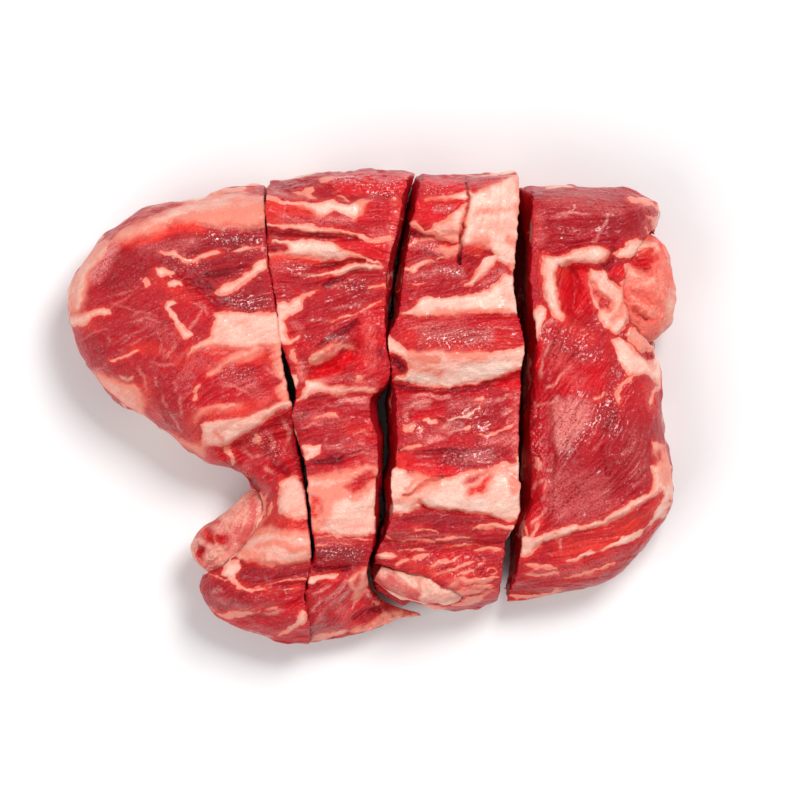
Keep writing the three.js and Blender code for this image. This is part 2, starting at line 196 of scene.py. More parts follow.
class Flesh:
    """A slice's or bone's surface, marked spot by spot in plan, in mm. Fat is a depth inside its edge, and
    under 0 outside it. The other marks are strengths."""

    CELL = 0.3
    DARKEST_TONE = -1.45
    # How dark a slit is painted, as the shade inside it
    SLIT_SHADE_TONE = -2.6

    def __init__(self, node, voxel, walls, fibres, pulls=(), first_fat=-9):
        self.node = node
        self.mesh = fine_mesh(node, voxel)
        count = len(self.mesh.vertices)
        flat = np.empty(count * 3)
        self.mesh.vertices.foreach_get("co", flat)
        self.places = flat.reshape(-1, 3) / MM
        self.mesh.vertices.foreach_get("normal", flat)
        self.normals = flat.reshape(-1, 3).copy()
        crisp = 0.62 * voxel
        for side, pushes in walls.items():
            self.push_wall(side, np.array(pushes, float), crisp)
        for move, half, line in pulls:
            gap, _ = to_line(self.places[:, :2], line_of(line))
            self.places += np.outer(1 - ease(0, half, gap), move)
        # Marks are laid on a plan that wanders a little, so that no edge runs straight.
        wander = []
        for seed in (1, 3):
            broad = lattice_noise(self.places, 3.1, seed) * 0.36
            wander.append(broad + lattice_noise(self.places, 1.2, seed + 1) * 0.27)
        self.plan = self.places[:, :2] + np.stack(wander, axis=1)
        self.upper = ease(0.1, 0.36, self.normals[:, 2])
        self.sawn = np.zeros(count)
        for side in walls:
            self.sawn = np.maximum(self.sawn, ease(0.55, 0.85, side * self.normals[:, 0]))
        names = ("fat", "soft", "blush", "tone", "warm", "film_and_sheen", "wisp", "glint", "rough", "fibre", "strand")
        self.marks = {name: np.zeros(count) for name in names}
        self.marks["fat"] += first_fat
        self.marks["rough"] += 0.25
        self.lift = np.zeros(count)
        self.slit = np.zeros(count)
        self.marks["fibre"], self.marks["strand"] = self.streaks(fibres)

    def push_wall(self, side, pushes, crisp):
        """Lets a sawn wall bulge outward, by rows of y, how far at the top and how far at the foot. Its upper
        edge, which the smoothing rounded, is made crisp again."""
        row_width = 2
        x, y, z = self.places.T
        facing = side * self.normals[:, 0]
        steps = np.arange(y.min(), y.max() + row_width, row_width)
        stands = []
        crests = []
        for step in steps:
            row = (abs(y - step) < row_width) & (facing > 0.5)
            stands.append(np.median(side * x[row]) if row.any() else np.nan)
            crests.append(np.percentile(z[row], 97) if row.any() else np.nan)
        # How far below the wall's upper edge each spot lies, and how far behind the wall
        known = ~np.isnan(stands)
        crest = np.interp(y, steps[known], np.array(crests)[known])
        depth = abs(side * x - np.interp(y, steps[known], np.array(stands)[known]))
        pushes = pushes[::-1]
        top, foot = (np.interp(y, pushes[:, 0], pushes[:, column], left=0, right=0) for column in (1, 2))
        # The push at the top passes into the one at the foot over 15 mm.
        high = ease(-15, -1, z - crest)
        shift = (top * high + foot * (1 - high)) * ease(9, 1, depth)
        edge = crisp * np.clip(2 * facing * self.normals[:, 2], 0, 1) ** 2 * ease(4, 2, depth)
        edge[facing < 0] = 0
        self.places[:, 0] += side * (shift + edge * 0.8)
        self.places[:, 2] += edge * 0.5

    def streaks(self, fibres):
        """Muscle fibres: noise drawn out along the direction in which the fibres run at each place."""
        low = self.plan.min(0) - 1
        shape = (np.ptp(self.plan, axis=0) + 4) / self.CELL
        columns, rows = (int(n) + 1 for n in shape)
        grid = np.meshgrid(np.arange(columns), np.arange(rows), indexing="ij")
        cells = np.stack(grid, axis=-1).reshape(-1, 2)
        spots = cells * self.CELL + low
        turn = np.zeros((len(spots), 2))
        for x, y, degrees in fibres:
            pull = 1 / (((spots - (x, y)) ** 2).sum(1) + 9) ** 1.5
            double = math.radians(2 * degrees)
            turn += pull[:, None] * (math.cos(double), math.sin(double))
        sway = 0.16 * lattice_noise(spots, 7, 11)
        angle = np.arctan2(turn[:, 1], turn[:, 0]) / 2 + sway
        way = np.stack([np.cos(angle), np.sin(angle)], axis=1).reshape(columns, rows, 2)
        rng = np.random.default_rng(5)
        drawn = []
        # Short sharp streaks, and long soft ones
        for reach, blur in ((9, 0), (26, 3)):
            noise = rng.uniform(-1, 1, (columns, rows))
            for _ in range(blur):
                blurred = noise
                for step, axis in ((1, 0), (-1, 0), (1, 1), (-1, 1)):
                    blurred = blurred + np.roll(noise, step, axis)
                noise = blurred / 5
            total = noise.copy()
            for sign in (-1, 1):
                here = cells.reshape(columns, rows, 2).astype(float)
                for _ in range(reach):
                    near = np.clip(np.rint(here).astype(int), 0, (columns - 1, rows - 1))
                    here = here + sign * way[near[..., 0], near[..., 1]]
                    near = np.clip(np.rint(here).astype(int), 0, (columns - 1, rows - 1))
                    total += noise[near[..., 0], near[..., 1]]
            drawn.append(total / total.std())
        spot = np.clip((self.places[:, :2] - low) / self.CELL, 0, (columns - 1.001, rows - 1.001))
        whole = spot.astype(int)
        part = spot - whole
        results = []
        for picture in drawn:
            value = 0
            for i, j in np.ndindex(2, 2):
                weight = (part[:, 0] if i else 1 - part[:, 0]) * (part[:, 1] if j else 1 - part[:, 1])
                near = np.minimum(whole + (i, j), (columns - 1, rows - 1))
                value = value + weight * picture[near[:, 0], near[:, 1]]
            results.append(value)
        return results

    def close_to(self, line, reach):
        """The vertices within `reach` mm of the box round a line."""
        low, high = line.min(0) - reach, line.max(0) + reach
        return np.flatnonzero(((self.plan > low) & (self.plan < high)).all(1))

    def signed(self, flat, reach=6):
        """Vertices near an outline, and how far inside it each lies."""
        outline = pairs(flat)
        near = self.close_to(outline, reach)
        places = self.plan[near]
        gap, _ = to_line(places, np.vstack([outline, outline[:1]]))
        return near, np.where(inside(places, outline), gap, -gap)

    def fat(self, blush, flat):
        """A patch of fat, from cream at blush 0 to salmon at 1."""
        near, depth = self.signed(flat)
        over = depth > np.maximum(self.marks["fat"][near], -1.5)
        self.marks["blush"][near[over]] = blush
        self.marks["fat"][near] = np.maximum(self.marks["fat"][near], depth)

    def strand(self, width, blush, flat):
        """A thread of fat that thins out at both ends. A pair of widths thins from one to the other."""
        line = pairs(flat)
        near = self.close_to(line, 6)
        gap, along = to_line(self.plan[near], line)
        if isinstance(width, tuple):
            half = (width[0] + (width[1] - width[0]) * along) / 2
        else:
            thin_ends = np.clip(0.35 + 5 * np.minimum(along, 1 - along), 0, 1)
            half = width / 2 * thin_ends
        broken = 1 + 0.25 * self.marks["strand"][near] + 0.6 * lattice_noise(self.plan[near], 2.6, 41)
        depth = half * broken - gap
        over = depth > np.maximum(self.marks["fat"][near], -1)
        self.marks["blush"][near[over]] = blush
        self.marks["fat"][near] = np.maximum(self.marks["fat"][near], depth)

    def wisp(self, width, amount, flat):
        """A faint pale streak in the lean, thinning out at both ends."""
        line = pairs(flat)
        near = self.close_to(line, width)
        gap, along = to_line(self.plan[near], line)
        thin_ends = np.clip(0.3 + 4 * np.minimum(along, 1 - along), 0, 1)
        streak = amount * (1 - ease(0.1 * width, width, gap)) * thin_ends
        self.marks["wisp"][near] = np.maximum(self.marks["wisp"][near], streak)

    def lean(self, soft, flat):
        """An island of lean in the fat, with an edge that is `soft` mm wide."""
        near, depth = self.signed(flat)
        self.marks["fat"][near] = np.minimum(self.marks["fat"][near], -depth)
        self.marks["soft"][near] = np.maximum(self.marks["soft"][near], soft * ease(-3, -1, depth))

    def cut(self, width, deep, flat):
        """A narrow groove, painted dark as the shade inside a slit."""
        line = pairs(flat)
        near = self.close_to(line, 4)
        gap, _ = to_line(self.plan[near], line)
        self.marks["fat"][near] = np.minimum(self.marks["fat"][near], gap - width / 2)
        self.slit[near] = np.maximum(self.slit[near], ease(width / 2 + 0.4, width / 2, gap))
        self.lift[near] -= deep * ease(width / 2 + 0.5, 0, gap)

    def tint(self, mark, amount, half, flat):
        """Adds to one mark along a line, fading out over `half` mm. The line may be a single point."""
        line = line_of(flat)
        near = self.close_to(line, half)
        gap, _ = to_line(self.plan[near], line)
        self.marks[mark][near] += amount * (1 - ease(0, half, gap))

    def area(self, mark, amount, soft, flat):
        """Adds to one mark within an outline, fading across its edge over `soft` mm."""
        near, depth = self.signed(flat, soft + 1)
        self.marks[mark][near] += amount * ease(-soft, soft, depth)

    def raise_up(self, height, half, flat):
        """A ridge, or with a height under 0 a crease, along a line."""
        line = pairs(flat)
        near = self.close_to(line, half)
        gap, _ = to_line(self.plan[near], line)
        self.lift[near] += height * (1 - ease(0, half, gap))

    def finish(self, material, name=None):
        """Shapes the surface by its marks, stores them on the mesh and makes the piece."""
        marks = self.marks
        shown = self.upper
        fat = marks["fat"]
        # The surface that shows: lumps, fat a little proud with a groove along it, fibres and grain, in mm
        lumpy = 0.28 * lattice_noise(self.places, 4.3, 21) + 0.14 * lattice_noise(self.places, 1.7, 22)
        raised_fat = 0.36 * ease(-0.3, 1.4, fat)
        groove_beside_fat = 0.22 * np.exp(-((fat / 0.35) ** 2))
        relief = raised_fat - groove_beside_fat
        relief += np.where(fat < 0, 0.1, 0.012) * marks["fibre"]
        relief += 0.15 * marks["strand"] * ease(0.3, -0.5, fat)
        grainy = 0.5 * lattice_noise(self.places, 1.5, 25) + 0.3 * lattice_noise(self.places, 0.8, 26)
        relief += marks["rough"] * grainy
        relief = (relief + lumpy + self.lift) * shown
        # Hidden sides are uneven in a coarser way, and sawn faces keep the saw's ripple.
        uneven = 0.7 * lattice_noise(self.places, 9, 27) + 0.45 * lattice_noise(self.places, 3.4, 28) - 0.2
        relief += uneven * (1 - shown) * (1 - self.sawn)
        # Painted shade: creases are painted darker, and slits darker still, and fat in a crease is painted
        # pinker.
        crease_shade = 0.3 * np.clip(self.lift, -2, 0)
        marks["tone"] = np.maximum(marks["tone"] + crease_shade, self.DARKEST_TONE) + self.SLIT_SHADE_TONE * self.slit
        marks["blush"] -= crease_shade
        ripple = 0.2 * lattice_noise(self.places * (1, 0.5, 1), 0.9, 23)
        relief += (ripple + 0.3 * lattice_noise(self.places, 3.7, 24) - 0.3) * self.sawn
        places = self.places.copy()
        upright = shown * (1 - self.sawn)
        places += self.normals * (relief * (1 - upright))[:, None]
        places[:, 2] += relief * upright
        places[:, 2] = np.maximum(places[:, 2], 0)
        mesh = self.mesh
        mesh.vertices.foreach_set("co", (places * MM).ravel())
        marks["shown"] = shown
        marks["sawn"] = self.sawn
        for mark, values in marks.items():
            mesh.attributes.new(mark, "FLOAT", "POINT").data.foreach_set("value", values.astype(np.float32))
        mesh.polygons.foreach_set("use_smooth", np.ones(len(mesh.polygons), bool))
        mesh.materials.clear()
        mesh.materials.append(material)
        mesh.update()
        piece = bpy.data.objects.new(name or self.node.replace("slice", "meat"), mesh)
        bpy.context.scene.collection.objects.link(piece)
        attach(piece, "root")
        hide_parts(self.node)
        return piece


def rgb(code):
    """The linear colour of a hexadecimal one."""
    parts = [int(code[i : i + 2], 16) / 255 for i in (0, 2, 4)]
    return [p / 12.92 if p <= 0.04045 else ((p + 0.055) / 1.055) ** 2.4 for p in parts]


class Wire:
    """A shader node's output that can be reckoned with: each operation adds the Math node for it."""

    def __init__(self, tree, socket):
        self.tree = tree
        self.socket = socket

    def node(self, kind, settings=(), inputs=(), output=0):
        """Adds a node of a kind, with its settings and its inputs by name or number."""
        made = self.tree.nodes.new(kind)
        for name, value in dict(settings).items():
            setattr(made, name, value)
        for key, value in dict(inputs).items():
            if isinstance(value, Wire):
                self.tree.links.new(value.socket, made.inputs[key])
            else:
                made.inputs[key].default_value = value
        return Wire(self.tree, made.outputs[output])

    def maths(self, operation, *values, clamp=False):
        """Adds a Math node for these values."""
        return self.node("ShaderNodeMath", {"operation": operation, "use_clamp": clamp}, enumerate(values))

    def __add__(self, other):
        return self.maths("ADD", self, other)

    def __sub__(self, other):
        return self.maths("SUBTRACT", self, other)

    def __mul__(self, other):
        return self.maths("MULTIPLY", self, other)

    def __rsub__(self, other):
        return self.maths("SUBTRACT", other, self)

    __radd__ = __add__
    __rmul__ = __mul__

    def __neg__(self):
        return self.maths("MULTIPLY", self, -1)

    def clamped(self):
        return self.maths("ADD", self, 0, clamp=True)

    def eased(self, low, high):
        """0 under `low`, 1 over `high`, smooth between."""
        settings = {"interpolation_type": "SMOOTHSTEP"}
        return self.node("ShaderNodeMapRange", settings, {"Value": self, "From Min": low, "From Max": high})

    def attribute(self, name):
        return self.node("ShaderNodeAttribute", {"attribute_name": name}, output="Fac")

    def noise(self, vector, scale, detail=2, rough=0.5):
        """Noise from 0 to 1 whose patches are `scale` mm across."""
        inputs = {"Vector": vector, "Scale": 1 / (scale * MM), "Detail": detail, "Roughness": rough}
        return self.node("ShaderNodeTexNoise", (), inputs)

    def blend(self, low, high):
        """A colour between two others, by this value from 0 to 1."""
        colours = [c if isinstance(c, Wire) else (*rgb(c), 1) for c in (low, high)]
        settings = {"data_type": "RGBA", "clamp_factor": True}
        return self.node("ShaderNodeMix", settings, {0: self, 6: colours[0], 7: colours[1]}, output=2)


# The colours of lean, of the film on it with its painted sheen and painted glints, of fat, and of the sawn
# faces. The darkest red is also painted shade in creases and slits.
DARK_LEAN_AND_SHADE = "5e0710"
BURGUNDY = "980e1c"
MID_LEAN = "b6141f"
BRIGHT = "da0f1c"
GLOW = "e83a2c"
FILM_AND_SHEEN = "e27c78"
WISP = "ee948a"
FLECK_AND_GLINT = "f6b4aa"
CREAM = "f8d4c3"
SALMON = "ec8874"
GLISTEN = "fbe4de"
SAWN_LEAN = "bc1420"
SAWN_FAT = "e58f84"


def flesh_material(name, pale, pink, bony):
    """Lean and fat in one look, parted by the marks on the mesh. Where these don't show, noise parts them, or
    everything is bone."""
    material = bpy.data.materials.new(name)
    material.use_nodes = True
    tree = material.node_tree
    look = tree.nodes["Principled BSDF"]
    start = Wire(tree, None)
    place = start.node("ShaderNodeTexCoord", output="Object")
    shown = start.attribute("shown")
    sawn = start.attribute("sawn")
    fibre = start.attribute("fibre")
    strand = start.attribute("strand")
    soft = start.attribute("soft")

    # Where the marks don't show, seams and lumps of noise part fat from lean.
    fine = start.noise(place, 0.55, 3)
    cloud = start.noise(place, 6, 2)
    seam_place = start.noise(place, 22, 2, 0.4)
    seam = start.maths("ABSOLUTE", seam_place - 0.5)
    lump = start.noise(place, 26, 2)
    in_seams = -(seam * 60) + (lump - 0.5) * 7 - sawn * 0.5 + 0.6
    in_lumps = (lump - 0.6) * 40
    hidden_fat = start.maths("MAXIMUM", in_seams, in_lumps) + 60 * bony
    fat_field = shown * (start.attribute("fat") - hidden_fat) + hidden_fat
    fat_edge = start.maths("DIVIDE", fat_field + (fine - 0.5) * 0.5 + strand * 0.06, soft + 0.25)
    fat = fat_edge.eased(-1, 1)

    # Lean from burgundy to bright red, with the glow beside fat, film and its painted sheen, pale streaks and
    # fibres, and the painted shade of creases and slits at its darkest
    grain = (fine - 0.5) * 9 + fibre * 0.55
    glint = start.attribute("glint") * shown
    wet = (glint + start.noise(place, 4, 2).eased(0.5, 0.75) * 0.6).clamped()
    tone = start.attribute("tone") * shown + (cloud - 0.5) * 0.7 + strand * 0.08
    lean = (tone + 1).clamped().blend(BURGUNDY, MID_LEAN)
    lean = tone.clamped().blend(lean, BRIGHT)
    # Tones under -1, most of them painted shade in creases and slits, go towards near black-red.
    lean = (-tone - 1).clamped().blend(lean, DARK_LEAN_AND_SHADE)
    halo = start.maths("DIVIDE", fat_field, soft * 1.4 + 1).eased(-1.6, 0) * (cloud * 1.2 - 0.25)
    lean = (start.attribute("warm") * shown * 0.75 + halo).clamped().blend(lean, GLOW)
    # The film also stands for painted sheen on the wet lean.
    film_and_sheen = (start.attribute("film_and_sheen") * shown * (grain * 0.28 + strand * 0.15 + 0.6)).clamped()
    lean = film_and_sheen.blend(lean, FILM_AND_SHEEN)
    lean = (start.attribute("wisp") * shown * (grain * 0.2 + 0.7)).clamped().blend(lean, WISP)
    lean = ((-grain).eased(0.2, 2.8) * 0.6).blend(lean, DARK_LEAN_AND_SHADE)
    # Pale flecks in the grain, stronger where the lean is wet, partly as painted glints.
    lean = (grain.eased(0.9, 2.8) * (wet * 0.5 + 0.24)).blend(lean, FLECK_AND_GLINT)

    # Painted highlights: small white sparkles where the lean glints.
    painted_sparkle = start.noise(place, 0.75, 2, 0.6).eased(0.6, 0.68) * glint.clamped()
    lean = (painted_sparkle * 0.75).blend(lean, GLISTEN)

    # Fat, pinker along its rim, and the flatter colours of the sawn faces
    rim = start.maths("DIVIDE", fat_field, soft + 1).eased(1.6, 0.0) * 0.5
    mottle = (cloud - 0.5) * 0.7
    blush = start.attribute("blush") * (1 if bony else shown) + 0.25 + rim + mottle + strand * 0.06
    fat_colour = (blush + grain * 0.1).clamped().blend(pale, pink)
    colour = fat.blend(lean, fat_colour)
    colour = (sawn * 0.7).clamped().blend(colour, fat.blend(SAWN_LEAN, SAWN_FAT))
    tree.links.new(colour.socket, look.inputs["Base Color"])

    # The moist surface, with a grain too fine for the mesh
    grit = start.noise(place, 0.8, 3, 0.65)
    rough = fat * 0.1 + 0.31 - glint * 0.12 + (fine - 0.5) * 0.2
    tree.links.new(rough.socket, look.inputs["Roughness"])
    height = grit * (wet * 1.5 + 0.7) + fine * 0.6 + fibre * 0.14 * (1 - fat * 0.8)
    bump = start.node("ShaderNodeBump", (), {"Strength": 0.7, "Distance": 0.5 * MM, "Height": height})
    tree.links.new(bump.socket, look.inputs["Normal"])
    coat = (wet * 0.8 + 0.1).clamped()
    tree.links.new(coat.socket, look.inputs["Coat Weight"])
    look.inputs["Specular IOR Level"].default_value = 0.2
    look.inputs["Subsurface Weight"].default_value = 0.15
    look.inputs["Subsurface Radius"].default_value = (1, 0.25, 0.16)
    look.inputs["Subsurface Scale"].default_value = 2 * MM
    look.inputs["Coat Roughness"].default_value = 0.1
    return material


meat = flesh_material("meat", CREAM, SALMON, False)

one = Flesh(
    "slice_1",
    voxel=0.9,
    walls={
        1: [(78, 0.6, 0.6), (20, 0.65, 0.65), (15, 0.1, 0.1), (2, 0.1, 0.1), (-1, 0.7, 0.7),
            (-14, 0.5, 0.5), (-20, 0.8, 0.8), (-50, 0.7, 0.7), (-56, 0.45, 0.45), (-64, 0.6, 0.6),
            (-70, 1.3, 1.3), (-78, 1.3, 1.3)],
    },
    fibres=[(-85, 45, 40), (-60, 60, 8), (-45, 52, 10), (-45, 40, 12), (-70, 30, 25), (-85, 18, 30),
        (-60, 10, 55), (-42, 8, 30), (-35, -10, 20), (-35, -35, 60), (-30, -45, 10), (-30, -54, 3),
        (-45, -60, 40), (-32, -70, 15)],
)
# How deep or bright the lean is, with the dark lines along creases painted as shade
for amount, soft, outline in (
    (-0.75, 3, [-83, 50, -68, 53, -52, 55, -35, 55.5, -33, 30, -44, 30, -52, 36, -60, 42, -74, 38,
        -86, 34]),
    (-0.35, 2, [-90, 22, -83, 22, -82, 13, -88, 11]),
    (-0.2, 4, [-82, 34, -62, 36, -52, 24, -62, 18, -74, 16, -84, 24]),
    (0.35, 2.5, [-75, 41, -60, 39, -50, 33, -50, 26, -58, 24, -64, 34]),
    (0.3, 3, [-62, 15, -50, 18, -36, 16, -29, 10, -28, 3, -44, -1, -56, 0]),
    (-0.15, 4, [-62, -2, -68, 8, -76, 10, -68, -6, -56, -14]),
    (0.25, 2, [-46, -13, -35, -6, -25, -2, -22, -21, -33, -28, -41, -20]),
    (-0.8, 1.5, [-44.5, -51, -36, -50.3, -19, -50, -19, -56, -30, -56.3, -43, -56]),
    (-0.6, 2, [-56, -54, -44, -56, -38, -61, -38, -66, -53, -66]),
    (-0.4, 2, [-44, -67, -22, -64, -20, -76, -40, -74]),
    (0.5, 1.2, [-53.5, -14.6, -50, -13.8, -46, -14.4, -44.4, -18.7, -49, -20, -53, -17.8]),
    # Painted light: this patch at the foot is painted brighter, against the dim, greyish light its slope gets
    # from the lamps.
    (0.6, 2, [-52, -66, -22, -62, -20, -76, -46, -76]),
):
    one.area("tone", amount, soft, outline)
for amount, half, line in (
    (0.7, 3.5, [-82, 50.6, -72, 52, -62, 56, -52, 55.4]),
    (-0.9, 2.5, [-55, 39, -51, 37, -46, 33]),
    (-0.7, 2, [-52.4, 41.6, -49, 41, -45.4, 41.6]),
    (-0.8, 3, [-34, -13, -30, -18, -27, -22]),
    (-1.3, 2, [-38, -24.5, -36.5, -27]),
):
    one.tint("tone", amount, half, line)
# Orange places, film with painted sheen, and wet places with painted glints
for amount, half, line in (
    (0.85, 5, [-60, 60.5, -50, 61.5, -38, 61]),
    (0.7, 3, [-82, 51, -70, 53, -62, 57, -54, 56]),
    (0.45, 3, [-69, 42, -63, 36, -58, 34]),
    (0.55, 3.5, [-50, 16.5, -40, 15, -30.5, 14]),
    (0.7, 3, [-71.5, 8, -71, 1, -68, -4]),
    (0.6, 3.5, [-58, -6, -55.5, -12]),
    (0.5, 3.5, [-75, 18.6, -66, 17.6, -60, 14, -57, 17]),
    (0.5, 3.5, [-50, -2.6, -42, -1.6, -33, 2]),
    (0.6, 3, [-31, -36, -23, -39]),
    (0.4, 2.5, [-92, 24.4, -87, 24.6]),
):
    one.tint("warm", amount, half, line)
one.area("film_and_sheen", 1.3, 2, [-91, 41, -85, 51, -79, 53, -82, 47, -87, 39])
for amount, half, line in (
    (0.4, 4, [-46, 8, -40, 8, -34, 2]),
    (0.35, 4, [-60, 8, -56, 14, -50, 12]),
    (0.3, 4, [-74, 28, -66, 24, -62, 20]),
    (0.5, 3, [-89, 11.4, -85, 10]),
    (0.5, 3, [-40, -20, -41, -26]),
    (0.5, 3, [-34, -28, -36, -35, -40, -41]),
    (0.4, 2.5, [-50, -62, -44, -64, -38, -66]),
    (0.3, 3, [-45, -5, -38, -8]),
    (0.35, 4, [-72, 50, -62, 50, -56, 52]),
):
    one.tint("film_and_sheen", amount, half, line)
for amount, half, line in (
    (1, 5, [-50, 54, -42, 52.6, -37, 51]),
    (0.6, 5, [-62, 46, -54, 44]),
    (0.9, 4, [-46, 11, -38, 9]),
    (1, 4, [-45, 34, -38, 32, -34, 33]),
    (0.8, 5, [-38, -10, -30, -14]),
):
    one.tint("glint", amount, half, line)
# Fat, threads of fat, pale streaks and the fat's tints, each over the ones before
for amount, outline in (
    (1.6, [-84, 53, -74, 59, -50, 68, -34, 67, -33, 56, -48, 54, -64, 53, -78, 50]),
    (1.2, [-84, 54, -98, 40, -98, 30, -92, 26, -88, 40]),
    (1.2, [-58, 17, -50, 19.4, -29, 19.4, -26, 8, -40, 12, -56, 10]),
    (1.8, [-56, -5, -46, -3.6, -35, -1.8, -27, 3, -30, 5, -44, 0, -58, -2]),
    (1, [-90, 12, -72, 8, -70, -6, -84, 0]),
    (1, [-66, -8, -52, -12, -52, -18, -64, -14]),
    (0.8, [-44, -38, -30, -36, -18, -38, -18, -52, -40, -52]),
):
    one.area("soft", amount, 2, outline)
one.fat(0.62, [-83.4, 51.8, -80.2, 56, -73.8, 58.7, -65.2, 62.4, -56.7, 65.6, -51.4, 67.5, -46, 68.3,
    -33, 67, -33, 57.2, -38, 56.4, -43.4, 57, -46, 57.6, -49.2, 56.3, -53.5, 57.4, -56.7, 58.4, -62, 58.6,
    -65.2, 57.2, -67.4, 55, -72.7, 54.2, -77, 52.4])
one.tint("blush", -0.5, 2.4, [-47, 67.6, -40, 67.4, -33.6, 66.4])
one.tint("blush", -0.35, 2.4, [-80, 54.4, -72, 56.8, -66, 59])
one.tint("blush", 0.3, 4, [-58, 61, -48, 61.6, -38, 60.6])
one.wisp(1.2, 0.8, [-56, 59, -52, 57.4, -49, 56.4, -45, 56.6, -40, 56.3, -36, 56.5, -33.5, 58, -33.2, 61])
one.strand(1.2, 0.85, [-88, 51.6, -82, 57, -76, 61, -66, 64.4, -58, 66.6])
one.fat(0.6, [-83.4, 52, -84.4, 48.5, -86.6, 46.4, -89.8, 41.6, -90.3, 37.9, -91.2, 33, -93, 29.4, -99, 29,
    -99.4, 38, -96, 45, -91, 50.6, -86, 55])
one.tint("blush", -0.55, 2, [-84.4, 50, -87.6, 46, -91.4, 41.6, -92.6, 36, -92.8, 31])
one.tint("blush", 0.3, 2, [-95, 43, -97, 37])
one.fat(0.2, [-98, 29.2, -92.4, 29, -88.2, 30.6, -85.5, 31.3, -83.2, 30.8, -82.6, 29.3, -85, 28.2,
    -87.6, 28.3, -89.2, 26.6, -91.4, 25.2, -94, 25.2, -98, 25.6])
one.strand(1.1, 0.25, [-66.6, 49.1, -65.2, 48, -62.6, 48.5, -59.9, 47, -57.8, 45.9, -55.1, 46.4,
    -51.4, 47.5, -46, 48.8, -40.7, 49.3, -33.4, 50.4])
one.fat(0.1, [-68.4, 43.6, -66.3, 44, -62.6, 42.8, -62, 41.8, -64.2, 41.4, -66.8, 40.9, -68, 42.1])
one.fat(0.15, [-64.9, 38.7, -62, 39.9, -60.1, 39.7, -59.7, 38.6, -62, 37.7, -64.4, 37.4])
one.strand(1.2, 0.5, [-72.2, 39.3, -70.6, 38.8])
one.fat(0.15, [-33.2, 46.6, -36.4, 45.4, -39.1, 42.2, -41.2, 40.6, -45, 39, -48.7, 36.9, -50, 35.7,
    -48.2, 34.2, -46, 34.8, -42.8, 36.7, -39.6, 39, -36.4, 41.5, -32.7, 43.4])
one.fat(0.2, [-66.2, 32, -65.2, 33, -62, 33.4, -61.3, 32.5, -64, 30.9, -63.4, 29.9, -61.3, 27.7,
    -58.6, 24.5, -56.5, 22.4, -56, 21.4, -59.6, 20.7, -60.1, 22.4, -62.2, 26.1, -64.4, 29.3, -65.7, 30.7])
one.fat(0.3, [-49.2, 29, -46, 30, -40.7, 29.3, -29, 29.8, -27.6, 20, -28, 17.6, -35.4, 18.6, -40.7, 18,
    -46, 18.3, -51.4, 18.2, -57.8, 16.5, -56.7, 18.3, -54.6, 19.3, -52.4, 20.9, -50.8, 22.4, -50.5, 24.5,
    -49.2, 26.7])
one.strand(2.6, 0.4, [-29.4, 19, -28.4, 9.1, -27.4, 4.8, -25.8, 0.6])
one.strand((2.6, 0.5), 0.35, [-36.6, 18.2, -39.6, 16.4, -43.4, 14.5, -46.6, 12.9, -48.7, 10.8, -51.6, 9.5])
one.fat(0.25, [-24.6, 2.4, -30, 0.2, -35.4, -2.6, -40.7, -3.7, -46, -4.5, -51.4, -5.3, -54.2, -6.4,
    -53.6, -9.1, -54.2, -13.3, -58, -12.2, -65, -9.4, -60, -13, -53.5, -17.4, -52.8, -13.6, -46, -12.9,
    -43.4, -11.2, -39.6, -9.1, -35.4, -6.4, -30, -2.7, -24.4, 0])
one.tint("blush", 0.35, 3, [-54, -14, -60, -11.6])
one.tint("blush", 0.6, 1.2, [-49.4, -8, -48.6, -8.8])
one.tint("blush", 0.6, 1.2, [-48.2, -10, -47.4, -10.8])
one.strand(1.3, 0.4, [-56.2, -5.3, -54.6, -2.7, -51.9, -0.8, -48.7, -0.4, -45, 0, -41.6, 0])
one.strand(0.9, 0.5, [-83.4, 14.3, -81.8, 14.1, -79.1, 15.5, -75.9, 16.5, -72.5, 17])
one.strand(1, 0.6, [-54.6, 6.4, -55.6, 3.9, -56.7, 1.4])
one.fat(0.5, [-89.6, 11, -85.5, 9.8, -81.8, 8.6, -78, 7, -75.4, 6.8, -73.8, 5.3, -72.7, 2.7, -72.2, 0,
    -73, -5, -82, 0, -90, 6])
one.strand(0.9, 0, [-80, 9.4, -77.6, 8.2, -75.6, 9])
